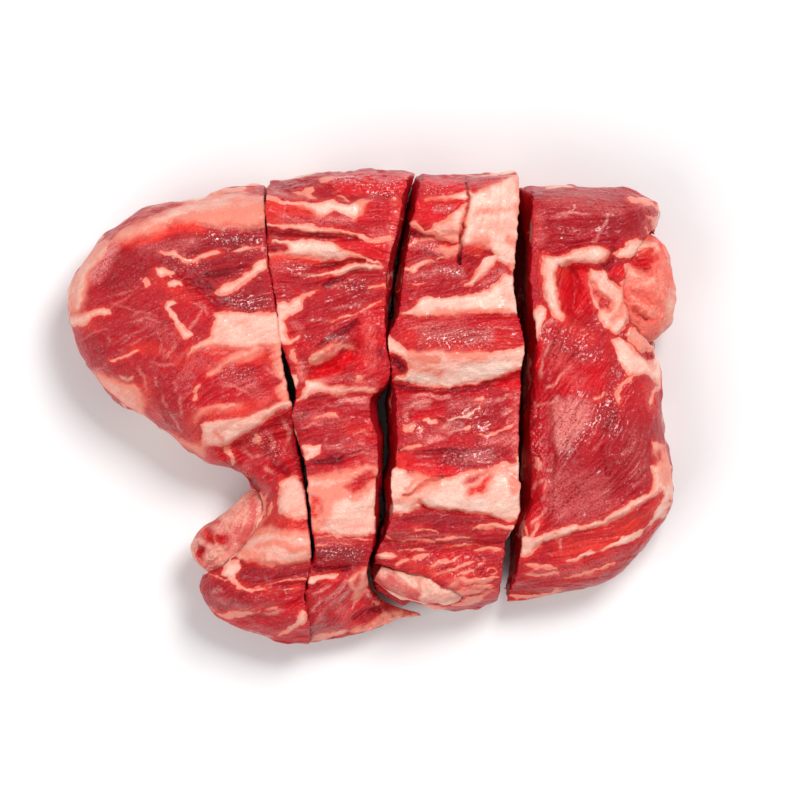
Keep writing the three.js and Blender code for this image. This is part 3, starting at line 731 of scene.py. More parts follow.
for width, amount, line in (
    (0.6, 0.35, [-82, 34.8, -77, 36, -73, 37.4]),
    (0.6, 0.35, [-84, 30.5, -80, 33, -76, 35.5]),
    (0.6, 0.35, [-83, 33, -76, 30, -68, 28.4]),
    (0.6, 0.35, [-93.8, 20.8, -91.4, 21.3, -87.6, 23.5, -82, 24.6]),
    (0.6, 0.35, [-84, 21.7, -83, 19.4]),
    (0.6, 0.35, [-76, 18.8, -72, 21, -67.5, 23.4]),
    (0.6, 0.35, [-69, 24, -66, 20, -67, 16]),
    (0.6, 0.35, [-88.4, 11.6, -86, 11.6, -84, 13.4]),
    (0.6, 0.35, [-78, 26, -70, 27.4, -64, 25.4]),
    (0.6, 0.35, [-80, 19, -76, 22, -71, 24.4]),
    (0.8, 0.5, [-61, 19.7, -63.1, 17.1, -65.4, 14.8]),
    (0.8, 0.5, [-68.6, 9.4, -68.2, 6.4]),
    (0.8, 0.5, [-66.3, 3.6, -65.8, 1.2, -64.8, -1.4]),
    (0.8, 0.5, [-62.6, 7.4, -62.2, 4]),
    (0.8, 0.5, [-60.4, 3, -60.8, 0, -59.8, -4]),
    (0.8, 0.5, [-64, -2, -62, -5.4, -60.6, -9]),
    (0.8, 0.5, [-42.6, 3.2, -41, 4]),
    (0.8, 0.5, [-40, 5.5, -38, 6.2]),
    (0.8, 0.5, [-53, 17, -49, 16.4, -44, 16.6]),
    (0.8, 0.5, [-70, 14, -66, 12.4, -62, 13.4]),
    (0.8, 0.5, [-34, 12, -31, 10, -29.4, 10]),
    (0.8, 0.5, [-48, 6.6, -43, 6, -38, 3]),
    (0.8, 0.5, [-74, 12, -72, 9, -71.6, 4]),
    (0.8, 0.5, [-58, 24, -55, 27, -53, 31]),
    (0.8, 0.5, [-57, 33, -53, 31, -51.5, 28]),
):
    one.wisp(width, amount, line)
one.strand(1.1, 0.1, [-46.6, -13.2, -45, -14.9, -43.8, -19])
one.fat(0.4, [-38, -11, -36.4, -9.4, -35, -10.6, -35.8, -12.6])
for line in (
    [-33, -9, -31, -12, -31.6, -15],
    [-41, -14, -38, -16.4, -35, -16],
    [-28, -4, -26, -8, -26.6, -12],
    [-34, -20, -31, -22],
):
    one.wisp(1.1, 0.7, line)
one.fat(0.3, [-29.4, -25, -27, -23.4, -24, -22.8, -21, -25, -20, -29, -19.4, -36, -24, -36.8, -29, -35,
    -29.8, -31])
one.strand(1.2, 0.5, [-33, -28, -35, -32, -38, -37, -41.5, -41])
one.strand(0.9, 0.6, [-36, -28.5, -38, -32])
one.strand(0.9, 0.5, [-31, -31, -33, -36, -38, -41])
one.fat(0.3, [-40, -42, -36.4, -39.2, -33, -38.4, -28, -40, -18, -40.6, -17.4, -49.7, -24, -50.2, -28, -51,
    -33, -51, -37, -49.9, -42, -49.7, -44, -47.6, -42.5, -44.6])
one.fat(0.1, [-46.5, -50, -42, -49.6, -41, -52, -43.5, -55.5, -47.5, -54.6])
one.strand(0.6, 0.3, [-57, -51.8, -52, -54, -48, -55.5, -44.5, -56.5])
one.strand(0.6, 0.2, [-38, -58, -35, -57.9, -31, -56.8, -26, -55.9, -20, -56])
one.strand(0.7, 0.2, [-37, -58.8, -33, -59, -29, -58.6, -23.5, -58.5])
one.fat(0.3, [-46.5, -53, -43, -55.6, -40, -58, -36.8, -58.6, -38, -60, -42, -58.4, -46, -55.6])
one.strand(2, 0.6, [-53.5, -65.5, -47, -67.6, -42, -67.2, -37.5, -66.2])
one.wisp(1, 0.6, [-51.5, -60.5, -47, -59])
one.strand(1, 0.3, [-36.5, -66, -32, -65.2, -29.5, -64.5])
one.wisp(1, 0.8, [-34.4, -67.2, -31, -66.6, -27.6, -65.4])
one.fat(0.35, [-30.5, -74.5, -27, -71.6, -24, -69.3, -22.8, -67, -22, -65.2, -20.3, -66, -20.5, -69.5,
    -24, -71.4, -26.5, -73.6])
one.wisp(1, 0.6, [-42, -72, -36, -73.8, -31, -74.6])
one.tint("blush", -0.35, 4, [-68, 60, -58, 62.6, -48, 64])
one.fat(0.55, [-37.6, -28, -36, -29, -35, -32, -36, -36, -38.6, -39.6, -40.4, -42.6, -38.8, -42.6,
    -36, -38.6, -33.6, -35, -33.4, -31, -35, -28])
for amount, half, line in (
    (0.5, 2.4, [-38, -41, -30, -39.4, -20, -41]),
    (0.5, 1.8, [-36, -45, -30, -43.6, -24, -46, -19, -45.4]),
    (0.4, 2, [-41, -47, -34, -48.6]),
    (-0.3, 4, [-62, 61, -56, 62.4]),
):
    one.tint("blush", amount, half, line)
# Ridges and creases
for height, half, line in (
    (-0.9, 1.4, [-62, 41, -57, 39, -55, 36.5, -51, 34, -48, 31]),
    (-0.6, 1.1, [-52, 41, -44, 42.6, -38, 43.6]),
    (-0.6, 1.2, [-49, 30.8, -40, 30.4, -30, 31]),
    (-0.8, 1.5, [-56, 57.8, -49, 55.2, -35, 55.4]),
    (-1.6, 2.2, [-46, -14.2, -39, -11.4, -33, -7.6, -27, -5]),
    (1, 2.6, [-45, -10, -38, -6, -30, -1.6]),
    (-1.4, 2.2, [-31, -19, -27, -21.4]),
    (-1.6, 2, [-38.5, -24, -36.2, -27.4]),
    (-0.8, 1.2, [-28, -65.3, -25, -64, -22.5, -62.3, -21, -60.6]),
    (-0.7, 1.2, [-42, -56.6, -32, -57.6, -22, -57.2]),
    (-0.8, 1.3, [-44, -50.8, -36, -49.8, -28, -51.4, -20, -50.6]),
    (-0.6, 1.3, [-43, -67.8, -36, -67.6, -30, -67.4]),
    (-0.7, 1.1, [-37.5, -37.6, -32, -35.6, -29.5, -36.8, -22, -38.4]),
    (0.9, 4, [-50, -20, -46, -17]),
):
    one.raise_up(height, half, line)
one.finish(meat)

# The second slice: a plank of neck between two saw cuts, with muscles and their seams running across it. A
# deep fold crosses its middle and a thin tail of meat runs out under the third slice.
two = Flesh(
    "slice_2",
    voxel=0.78,
    walls={
        -1: [(78, 0.6, 0.6), (20, 0.65, 0.65), (15, 0.1, 0.1), (2, 0.1, 0.1), (-1, 0.7, 0.7),
            (-14, 0.5, 0.5), (-20, 0.8, 0.8), (-50, 0.7, 0.7), (-56, 0.45, 0.45), (-66, 0.6, 0.6),
            (-80, 1, 1)],
        1: [(78, 0, 1.7), (56, 0, 2), (44, 0, 2.2), (32, 0, 2), (24, 1, 1.8), (16, 1.4, 1.5), (8, 1.5, 1.6),
            (2, 0, 3), (-8, 0, 2.4), (-24, 0, 2), (-40, 0, 1.5), (-48, 0, 0.6), (-56, 0, 0.4), (-60, 0, 0)],
    },
    pulls=[((2.6, -0.9, 0.5), 5, [13, -66.4])],
    fibres=[(-25, 70, -8), (0, 70, 4), (-25, 60, -10), (0, 58, 0), (-20, 50, -4), (0, 48, -12),
        (-22, 42, 4), (0, 43, 8), (-15, 36, 12), (0, 33, 6), (-20, 25, 15), (-8, 27, 22), (0, 20, 80),
        (-13, 16, 32), (-12, 8, 5), (-12, 0, 5), (-15, -12, 12), (-8, -18, 18), (-8, -30, 10),
        (-8, -43, -4), (-8, -50, -5), (-15, -58, 40), (-5, -58, 62), (-12, -66, 50), (0, -66, 35),
        (8, -67, 14)],
)
# How deep or bright the lean is, with the dark lines along creases painted as shade
for amount, soft, outline in (
    (0.4, 2, [-13, 75, 2, 76, 12, 75, 11, 66, 0, 66.5, -6, 66.5, -12, 69]),
    (-0.3, 2, [-32, 71, -22, 73, -16, 73, -20, 69.6, -25, 68, -31, 70]),
    (0.6, 2.5, [-33, 65.5, -24, 63.6, -17, 60.6, -22, 59.4, -33, 60]),
    (0.35, 2.5, [-3, 65, 11, 64.6, 8, 54, 0, 54, -5, 58]),
    (-0.9, 0.8, [-33, 56.4, -26, 55.8, -20, 54.8, -12, 54.4, -5, 53.4, -1, 52, -8, 52.8, -20, 52.8,
        -33, 52.6]),
    (-0.8, 0.7, [-32.6, 50.8, -26.6, 50.2, -26, 49.2, -28, 48.6, -32.6, 48.2]),
    (0.75, 1.2, [-13, 52.4, -9, 53.6, -5, 53.4, -1, 52, 6.6, 51.8, 6.4, 46, 3, 45.6, -3, 48, -6, 49.6]),
    (0.3, 2, [-33, 46.8, -17, 46.4, -19, 43, -29, 41, -31, 36, -33, 40]),
    (-0.9, 0.9, [-18, 44.6, -12, 45.7, -8, 46.3, -4, 46.4, -1.6, 46, -1.8, 45.2, -6, 45, -10, 44.2,
        -14, 43.2, -19, 42.8]),
    (-0.35, 2.5, [-28, 41, -14, 41, -4, 42.6, 5, 43, 5, 35, -10, 33, -20, 35]),
    (-0.2, 2.5, [-21, 35, -10, 35, 3, 34, -4, 28, -14, 25, -25, 26, -25, 29]),
    (0.6, 2.5, [-4, 27, 3, 33, 5, 30, 4.6, 8, -4, 10, -7, 14, -4, 20]),
    (0.3, 2, [-24, 20, -16, 20, -19, 16, -24, 16]),
    (0.9, 0.9, [-19.8, 8.2, -19, 9.8, -18, 11.2, -16, 11.6, -13.6, 13.4, -11, 15.4, -8.6, 16.6, -6.4, 17.4,
        -5.6, 16.4, -8, 12.4, -12, 9.4, -16.4, 9.2]),
    (-0.75, 1.5, [-21, -19, -16, -18.4, -10, -17.8, -4, -15.4, -9, -14.4, -14, -15.4, -17, -16.6]),
    (-0.4, 2, [-22, -9.6, -10, -10, -9, -12, -22, -12.8]),
    (0.4, 2, [-9, -4, 2, -4, 3, -12, -6, -13]),
    (0.35, 2, [-8, -14.6, 3, -14, 2, -19, -8, -19.4]),
    (-0.7, 1.6, [-17.6, -45.6, -6, -45, 1, -46, -1, -51, -10, -52, -18, -51.4]),
    (-0.2, 2.5, [-20, -57, -8, -55.6, -6, -62, -14, -72, -20, -71]),
    (-1.1, 1, [-6.4, -69, -5.6, -67.4, -4, -66.8, -2, -66, 0, -64.6, 2, -64.4, 2, -67, 0, -69, -2, -70,
        -4.6, -70.4]),
    # Painted light: the next two patches are painted brighter, against the dim, greyish light their slopes
    # get from the lamps.
    (0.6, 3, [-12, 76, 12, 76, 12, 66, -10, 67]),
    (0.5, 3, [-20, -56, 0, -54, 0, -66, -19, -68]),
    (0.4, 3, [-18, 40, -6, 42, -6, 34, -16, 34]),
    (1.2, 1, [-19.8, 8.2, -19, 9.8, -18, 11.2, -16, 12, -13.6, 13.8, -11, 15.4, -8.6, 16.6, -6.4, 17.4,
        -5.6, 15, -8, 11.6, -12, 9, -16, 8]),
    (-0.4, 1, [-18, 10, -13.6, 13, -8, 15.6, -7, 14, -12, 10.6, -16, 9]),
):
    two.area("tone", amount, soft, outline)
for amount, half, line in (
    (-0.7, 2, [-9, 15, -6.8, 16.4]),
    (-1.6, 1.1, [-15, 37.6, -12, 39, -8, 41, -5, 42.2, -2, 42.9, 2, 43.1]),
    (-1, 1.4, [-20, 54.2, -15, 54.2, -11, 53.8]),
    (-1.4, 1.5, [-4.6, 26.4, -7, 25, -9, 24.2]),
    (-1.3, 1.6, [-16, 19, -13, 20.8, -10, 22.6, -7, 23.6]),
    (-1, 1.3, [-19, 2.2, -14, 2.8, -10, 2.2, -8, 1.8]),
    (-1.2, 1.4, [-20.6, -2.2, -22, -3.6, -24, -4.8]),
    (-1.3, 1.3, [-18.5, -17.8, -16, -18.2, -13, -18.2, -9, -17.4]),
    (-1, 1.2, [-18, -52, -14, -52.5, -10, -52]),
    (-1.2, 1.2, [-10, -53.6, -7, -52.2]),
    (-0.9, 1.5, [-20.6, -57.4, -17, -57.4]),
    (-1.5, 1.6, [3.6, 18, 3.6, 16]),
    (0.6, 3, [-17.6, -30, -17.6, -35]),
    (0.7, 4, [-8, -69, -2, -67.4]),
):
    two.tint("tone", amount, half, line)
# Orange places, film with painted sheen, wet places with painted glints, and rough places
for amount, half, line in (
    (0.7, 4, [-32, 63, -24, 61.6]),
    (0.6, 2, [-22, 62, -17, 60]),
    (0.7, 3, [-33, 59, -29, 59]),
    (0.5, 3, [9.6, 64, 8.6, 60, 7, 56]),
    (0.7, 2.5, [-33, 46.6, -24, 46.4, -17, 45.8]),
    (0.4, 4, [0, 26, -1, 14]),
    (0.6, 3, [-23, 12, -21, 9]),
    (0.7, 4, [-17, -28, -17, -35]),
    (0.5, 3, [-8, -8, 0, -8]),
    (0.7, 2.4, [12, -66.8]),
):
    two.tint("warm", amount, half, line)
for amount, half, line in (
    (0.75, 2.6, [-17, 59.3, -11, 59, -6, 58.6]),
    (0.45, 3, [-28, 58.8, -21, 58.6]),
    (0.45, 2.4, [1, 55.6, 5, 54.4, 7, 52]),
    (0.6, 1.6, [-31, 69, -26, 67, -20, 66]),
    (0.6, 1.2, [-24.4, 68, -22, 67.8]),
    (0.6, 1.6, [7, 53, 6.8, 49, 6, 46]),
    (0.35, 3, [-30, 44, -22, 44]),
    (0.6, 2.2, [-13, 21.6, -8, 21]),
    (0.55, 2.6, [-15, 7.6, -10, 8.6, -3, 8.6, 1, 7]),
    (0.6, 2.2, [-9, 1.6, -5, 1.4, -1, 1]),
    (0.45, 3, [-24, -3, -14, -5, -8, -5]),
    (0.5, 2, [-14, -13, -9, -13.6]),
    (0.35, 4, [-6, -12, 2, -17]),
    (0.45, 2, [-17, -43.4, -6, -43.4]),
    (0.65, 4, [-12, -62, -9, -66]),
    (0.4, 3, [-16, -62, -16, -69]),
    (0.5, 2, [-24, 26, -22, 24]),
    (0.5, 3, [0, 24, 0.4, 13]),
):
    two.tint("film_and_sheen", amount, half, line)
two.area("glint", -1, 1, [-19.8, 8.2, -18, 11.2, -13.6, 13.8, -6.4, 17.4, -5.6, 15, -8, 11.6, -12, 9,
    -16, 8])
for amount, half, line in (
    (1, 4, [-10, 72.4, 0, 71, 8, 70.6]),
    (1, 3, [1, 67.4, 8, 67]),
    (1, 2, [-21, 21.4, -18, 21.5]),
    (1, 2.4, [-13, 21, -8, 21.4]),
    (0.9, 4, [-15, -47, -4, -47]),
    (0.8, 4, [-8, 37.4, -2, 38]),
    (0.8, 3, [-27, 44, -20, 43.6]),
    (0.7, 4, [-12, 13, -8, 15]),
):
    two.tint("glint", amount, half, line)
for amount, half, line in (
    (0.9, 5, [-12, 72, 10, 71]),
    (0.6, 4, [-28, 70.6, -20, 70.6]),
    (0.6, 4, [-23, 19, -14, 20, -6, 23]),
    (0.8, 5, [2, 22, 2, 12, 2, 6]),
    (0.5, 4, [-14, -6, 0, -8, 2, -16]),
    (0.9, 4, [-2, -62, 0, -67, 12, -67]),
    (0.5, 4, [-16, 8, -4, 8]),
    (1, 5, [-4, -73, 8, -70, 16, -68]),
):
    two.tint("rough", amount, half, line)
# Fat, lean islands, threads of fat, pale streaks and the fat's tints, each over the ones before
for amount, half, line in (
    (0.9, 4, [-33, 46.8, -24, 47, -17, 46.4]),
    (0.8, 3, [-22, 62, -16, 60.4]),
    (0.7, 3, [-1.6, 64, -2, 61]),
    (0.8, 3, [-16, 7.6, -8, 6.4, 2, 6]),
):
    two.tint("soft", amount, half, line)
two.fat(0.1, [-33.6, 67.3, -31.6, 67.2, -30, 66.3, -27, 65.4, -23, 64.9, -19, 64.4, -15, 64.8, -13, 65,
    -11.4, 64.9, -10, 64.2, -8, 64, -6.6, 63.8, -5.4, 64.8, -3, 65.8, 0.6, 65.8, -1.6, 64.4, -1.8, 62.4,
    -2.4, 60, -4.6, 59.2, -6.6, 60, -9, 60.6, -11.2, 61.4, -13, 60.8, -15, 60, -16.4, 60.4, -18.6, 61.8,
    -21, 62.8, -24, 63.4, -27, 64, -30, 64.6, -33.6, 65.4])
two.tint("blush", 0.6, 2.4, [-2.6, 65, -2.4, 61])
two.tint("blush", 0.5, 2, [-33, 66.6, -30, 65.6])
two.fat(0.55, [-24.6, 67.8, -22, 68.4, -20.6, 67.6, -20, 66.8, -23, 67])
two.strand((1.2, 2.4), 0.6, [-10.8, 74.7, -13, 73.2, -15, 71.4, -17, 69.9, -19.6, 68.2])
two.strand(1, 0.6, [-20, 66.8, -17.4, 65.8])
two.strand(0.9, 0.5, [-11, 66.3, -9, 66.2, -7, 64.8])
two.fat(0.1, [6.6, 65.4, 7.4, 66.7, 8.8, 65.6, 8, 65])
two.strand(1.5, 0.3, [11.6, 73.6, 13, 72.2])
two.fat(0.35, [-33.6, 57.9, -30, 57.3, -25, 57.6, -21, 57.6, -18.4, 57.8, -16, 56.4, -12.6, 56.4, -10, 55.6,
    -6, 55, -3, 54.4, 0, 53.4, 3, 54, 6.4, 54, 6.8, 52.6, 3, 51.8, 0, 51.9, -2, 52.3, -5, 53.7, -8, 54.2,
    -12, 54.6, -16, 54.8, -19, 54.9, -22, 55.2, -26, 56, -30, 56.3, -33.6, 57])
two.tint("blush", 0.35, 2.4, [1, 53, 6, 53])
two.fat(0, [-31.6, 52.1, -27, 52.2, -22, 52.5, -17, 52.4, -13, 51.9, -10, 50.7, -7, 49.3, -4, 47.8,
    -1, 46.8, 2, 46, 4.2, 44.8, 2, 45.2, -1.4, 45.4, -1.6, 46.2, -4, 46.7, -7, 46.7, -10, 46.4, -13, 46,
    -16, 46.3, -19, 47, -23, 47.3, -27, 47.7, -30, 47.6, -33.2, 47, -33.4, 48, -30, 48.4, -27, 48.6,
    -25.6, 49.2, -25.8, 50.4, -26.4, 51, -29, 51.3, -31.6, 51.4])
two.tint("blush", 0.55, 2, [-33, 47.6, -29, 47.8])
two.tint("blush", 0.4, 1.6, [-10, 50.4, -6, 48.6, 0, 46.4])
two.fat(0, [-22, 40.4, -18, 41.3, -14, 42.1, -11, 43.2, -8, 44.4, -5, 44.9, -1, 45.1, 2, 44.8, 4.4, 44.1,
    3, 43.6, 1, 43.4, -2, 43.3, -5, 42.6, -8, 41.8, -11, 41.3, -14, 41.4, -18, 40.6])
two.strand(0.7, 0.7, [-1.4, 36.9, 2, 37.7, 4.6, 38.2, 5.4, 37.4])
two.wisp(0.6, 0.6, [-14, 37.6, -11, 38.2, -8, 38.2])
two.wisp(0.6, 0.5, [-24, 41.6, -18, 41.4])
two.wisp(0.6, 0.5, [-32, 53.2, -29.6, 53.2])
two.fat(0.25, [-29.6, 32.8, -26, 33, -23.6, 34.2, -21, 35.2, -18, 36, -16.6, 36, -18, 35.2, -20.6, 34,
    -21.4, 33, -21.2, 31, -21.8, 30.3, -24, 29.4, -26, 28.4, -27.2, 27, -26.6, 25.8, -26.2, 24, -26, 22.4,
    -25.2, 20.6, -24, 21.6, -22.4, 22.6, -22, 22, -23, 20.6, -25, 19.6, -27, 19.2, -29, 19.6, -31, 22])
two.tint("blush", 0.5, 2.5, [-22, 34.6, -17, 36])
two.strand((1.1, 0.4), 0.3, [3.4, 33.1, 1.6, 32.2, -1, 30.8, -3, 29.8, -5, 28.8, -8, 28, -12, 26.8])
two.wisp(0.6, 0.5, [-19, 27, -15, 26.8, -12, 27])
two.wisp(0.7, 0.5, [-12, 30.6, -6, 31.4, -1, 33])
two.fat(0.7, [-19.8, 14.6, -18.4, 16, -16, 17.6, -14, 18.8, -12, 18.6, -9, 19.2, -6.4, 19.4, -5.2, 18.4,
    -6.4, 17.8, -8.4, 18.2, -10, 17.4, -12, 16.2, -14, 14.8, -16, 13.2, -18, 12.2, -19.6, 12.8])
two.lean(0.8, [-14, 16.4, -10, 18.2, -7, 18.6, -10, 18.6, -14, 17.4])
two.strand(0.6, 0.1, [-17, 15, -14, 16, -11, 17.6, -8.6, 18.4, -6, 18.4])
two.strand(0.6, 0.15, [-15, 17.6, -12.6, 18.6, -9.4, 19.6])
two.fat(0.8, [-24.8, 18, -23.4, 16, -23, 13, -24, 12.8, -25.4, 15, -25.8, 17.4])
two.fat(0.15, [-25.6, 9.8, -23.6, 9.8, -22.8, 7.8, -23.4, 5, -24.4, 5.6, -25.2, 8])
two.tint("wisp", 0.7, 2.6, [-22, 12.6, -21.6, 9])
two.fat(0.15, [-23.4, 2, -22, 3.4, -21.2, 5.4, -20.4, 7.6, -18, 8.2, -16.4, 8, -14.4, 6.6, -12.4, 5.8,
    -9.4, 5.9, -7, 5.4, -5, 5.9, -2, 5.8, 1, 5.6, 2.6, 5.4, 1.6, 4.2, 0, 3.6, -3, 4.4, -6, 4.2, -8, 3.8,
    -10, 3.4, -12, 3.4, -14, 4, -16.4, 4.1, -18, 3.8, -20, 2.4, -21.4, 1.6, -23.4, 1.2])
two.fat(0.6, [-4.8, 9.6, -3, 9.8, -2.4, 8.4, -3.4, 7.2, -4.8, 7.8])
two.wisp(1.6, 0.8, [-8.6, 1.8, -5, 1.8, -1.4, 1.4])
two.wisp(0.7, 0.6, [-15, 0.3, -11, 0, -8, 0.6])
two.strand(0.9, 0.35, [-17.8, -4.6, -16, -3.5, -14, -3, -12, -3.2, -10, -3.8])
two.wisp(0.8, 0.6, [-22, -7.4, -18, -6, -15, -6.6])
two.wisp(0.8, 0.6, [-6, -9.4, -3, -8.4, 0, -9])
two.wisp(0.8, 0.6, [-4, -12, -2, -12.8])
two.wisp(0.6, 0.5, [-8, -16, -3, -15, 1, -15.4])
two.fat(0.05, [-23, -13.4, -21, -13, -18, -12.9, -15.2, -12.9, -16, -14.4, -17, -16, -18.6, -17.2,
    -21, -17.6, -22, -16.8, -20.4, -15.4, -21.4, -14.6])
two.tint("soft", 0.9, 3, [-18, -22.6, -10, -21, -4, -19.8])
two.fat(0.25, [-20, -22.8, -13, -21.8, -10, -20.9, -6, -20, -2, -19.3, 1.6, -19.6, 3, -21, 3, -27, 2.4, -33,
    3, -40.4, -1, -41.4, -4, -42, -10, -41.4, -14, -40.8, -18, -40.4, -20, -38])
two.lean(1, [-8.6, -26, -6.4, -24.4, -5, -22.6, -3, -21.2, 0, -20.6, 2, -21.6, 2.2, -23.4, 0.6, -24.4,
    -1.4, -26, -3.6, -27.4, -5.8, -28.8, -6.6, -27.6])
two.lean(0.9, [-18.4, -29.4, -16.6, -29.4, -15.4, -31, -15.6, -33.6, -16.8, -35.4, -18.4, -36.2,
    -18.8, -33])
two.fat(0.8, [-17, -31.6, -16, -32, -16.4, -34, -17.2, -33.6])
for amount, half, line in (
    (0.8, 4, [-18, -28, -14, -28.4, -11, -28]),
    (0.7, 3.6, [-14, -31, -14, -35, -17, -38]),
    (0.6, 3.4, [-9, -26.6, -5, -29, -1, -27]),
    (0.4, 3, [-17, -23, -8, -22]),
    (-0.2, 4, [-4, -33, -1, -31]),
):
    two.tint("blush", amount, half, line)
two.strand(0.7, 0.6, [-17, -42.2, -12, -41.6, -7, -42.2, -3, -42.7, 1, -43.2])
two.strand(0.6, 0.6, [-17, -44.6, -11, -43.7, -6, -44.5])
two.fat(0.1, [-20.4, -56.8, -19, -54.7, -16, -54.1, -12, -53.6, -10, -54, -11, -55.2, -14, -55.4,
    -16.4, -56, -18, -57])
two.tint("soft", 0.9, 5, [-3, -54, -4, -58, -5, -62])
two.fat(0.35, [-4, -53.6, -1.2, -51.8, -0.6, -54, -1, -57, -2, -59.4, -3.4, -61.4, -5.4, -63.2, -6.2, -62,
    -5, -59.4, -6.6, -57.6, -7.4, -56])
two.lean(0.7, [-3.4, -54.4, -3, -56, -4.4, -58, -5.4, -57])
for width, line in (
    (0.8, [-7, -55, -8.6, -57.4, -11, -60.4]),
    (0.8, [-9, -57.6, -12, -60.6, -14.6, -63]),
    (0.8, [-6, -58.6, -8.4, -61, -10, -63.6]),
    (0.8, [-12, -57, -15, -59, -18.6, -60.4]),
    (0.8, [-15.6, -62.6, -18, -65, -19, -66.4]),
    (0.8, [-4, -62, -6.4, -65.4]),
    (1.3, [-1.4, -59, -0.6, -61.4]),
):
    two.wisp(width, 0.8, line)
two.strand(0.9, 0.6, [0.6, -63, 2.8, -63.7])
two.fat(0.45, [-20.4, -76.4, -16, -76, -12, -75, -8.6, -74, -7, -72.2, -9, -71.9, -12, -73.1, -16, -73.3,
    -18.4, -74.4])
two.tint("soft", 0.8, 6, [-4, -72.4, 4, -69.6, 13, -67])
two.fat(0.7, [2, -69.4, 4, -67, 8, -65.8, 11, -65.4, 10.6, -68, 14, -67, 17, -67, 16, -70, 10, -70.8,
    5, -72, 0, -73.4, -4, -74.4, -6.8, -72.8, -6, -71.6, -2, -71.3])
two.tint("blush", -0.5, 1.4, [-18, 15, -13, 17.6, -8, 18.8])
two.tint("blush", -0.3, 4, [0, -71, 8, -69, 16, -68])
# Ridges and creases
for height, half, line in (
    (-1.5, 1.4, [-33, 55.6, -26, 55, -20, 54.2, -15, 54.2, -10, 53.8, -5, 53]),
    (-1, 1, [-33, 51, -29, 50.8, -26.4, 50.5]),
    (-1, 1.2, [-32.6, 49.4, -27, 49.2]),
    (-1.3, 1.3, [-17, 44.4, -12, 45, -7, 45.6, -2.4, 45.6]),
    (-1, 1.1, [-15, 37.6, -12, 39, -8, 41, -5, 42.2, -2, 42.9, 2, 43.1]),
    (0.5, 2, [-20, 41, -10, 42.8, -2, 44.2]),
    (-0.9, 1.3, [-4, 26.5, -7, 24.9, -10, 23, -13, 21, -16, 18.7]),
    (-1, 1.3, [-18, -18.3, -10, -17.8, -5, -15.6, 0, -15]),
    (-1.2, 1.3, [-18, -51.8, -13, -52.6, -9.6, -52.6, -6.6, -52]),
    (-1.4, 2, [-5.6, -68.6, -3, -67.2, 0, -66, 2, -65.4]),
    (-1.1, 1.3, [-21, -58, -17, -57.6]),
    (-1.7, 2.6, [-18.6, 9.6, -14, 11.4, -9, 14.2, -7, 15.8]),
    (0.9, 2.4, [-20, 14, -16, 16.2, -8, 19]),
    (-0.8, 2, [-31, 70, -24, 67.6, -14, 67, -6, 66.4, 6, 66.6]),
    (0.6, 1.6, [-4, -54, -5, -60]),
):
    two.raise_up(height, half, line)
two.finish(meat)

# The third slice, sawn on both sides. A thick roll of muscle swells across its middle, a wide pad of fat
# lies under that, and the saw has nicked its far end. The near corner is cut down to a bone.
three = Flesh(
    "slice_3",
    voxel=0.76,
    walls={
        -1: [(78, 0, 1.7), (56, 0, 2), (44, 0, 2.2), (32, 0, 2), (24, 1, 1.8), (16, 1.4, 1.5),
            (8, 1.5, 1.6), (2, 0, 3), (-8, 0, 2.6), (-24, 0, 2.2), (-40, 0, 2), (-48, 0, 0.6), (-54, 0, 0)],
        1: [(30, 0, 0), (20, 0, 0.6), (-38, 0, 0.6), (-42, 0, 0)],
    },
    pulls=[((0, -2.4, 0), 4, [2, -57.6, 6, -60, 10, -62])],
    fibres=[(20, 68, 0), (24, 60, 10), (20, 50, 12), (34, 45, 40), (40, 62, 80), (42, 48, 75), (16, 38, 8),
        (36, 38, 25), (28, 32, 2), (12, 24, 25), (28, 22, 8), (44, 22, -8), (14, 16, 25), (30, 12, 2),
        (44, 8, 12), (14, 0, 14), (30, -3, 22), (44, 0, 20), (15, -8, 15), (32, -8, 20), (44, -12, 20),
        (16, -20, -4), (32, -18, 8), (30, -28, 0), (14, -28, 30), (12, -38, -2), (28, -40, 0), (40, -42, 5),
        (8, -48, 5), (24, -50, 16), (36, -52, 10), (34, -60, 12)],
)
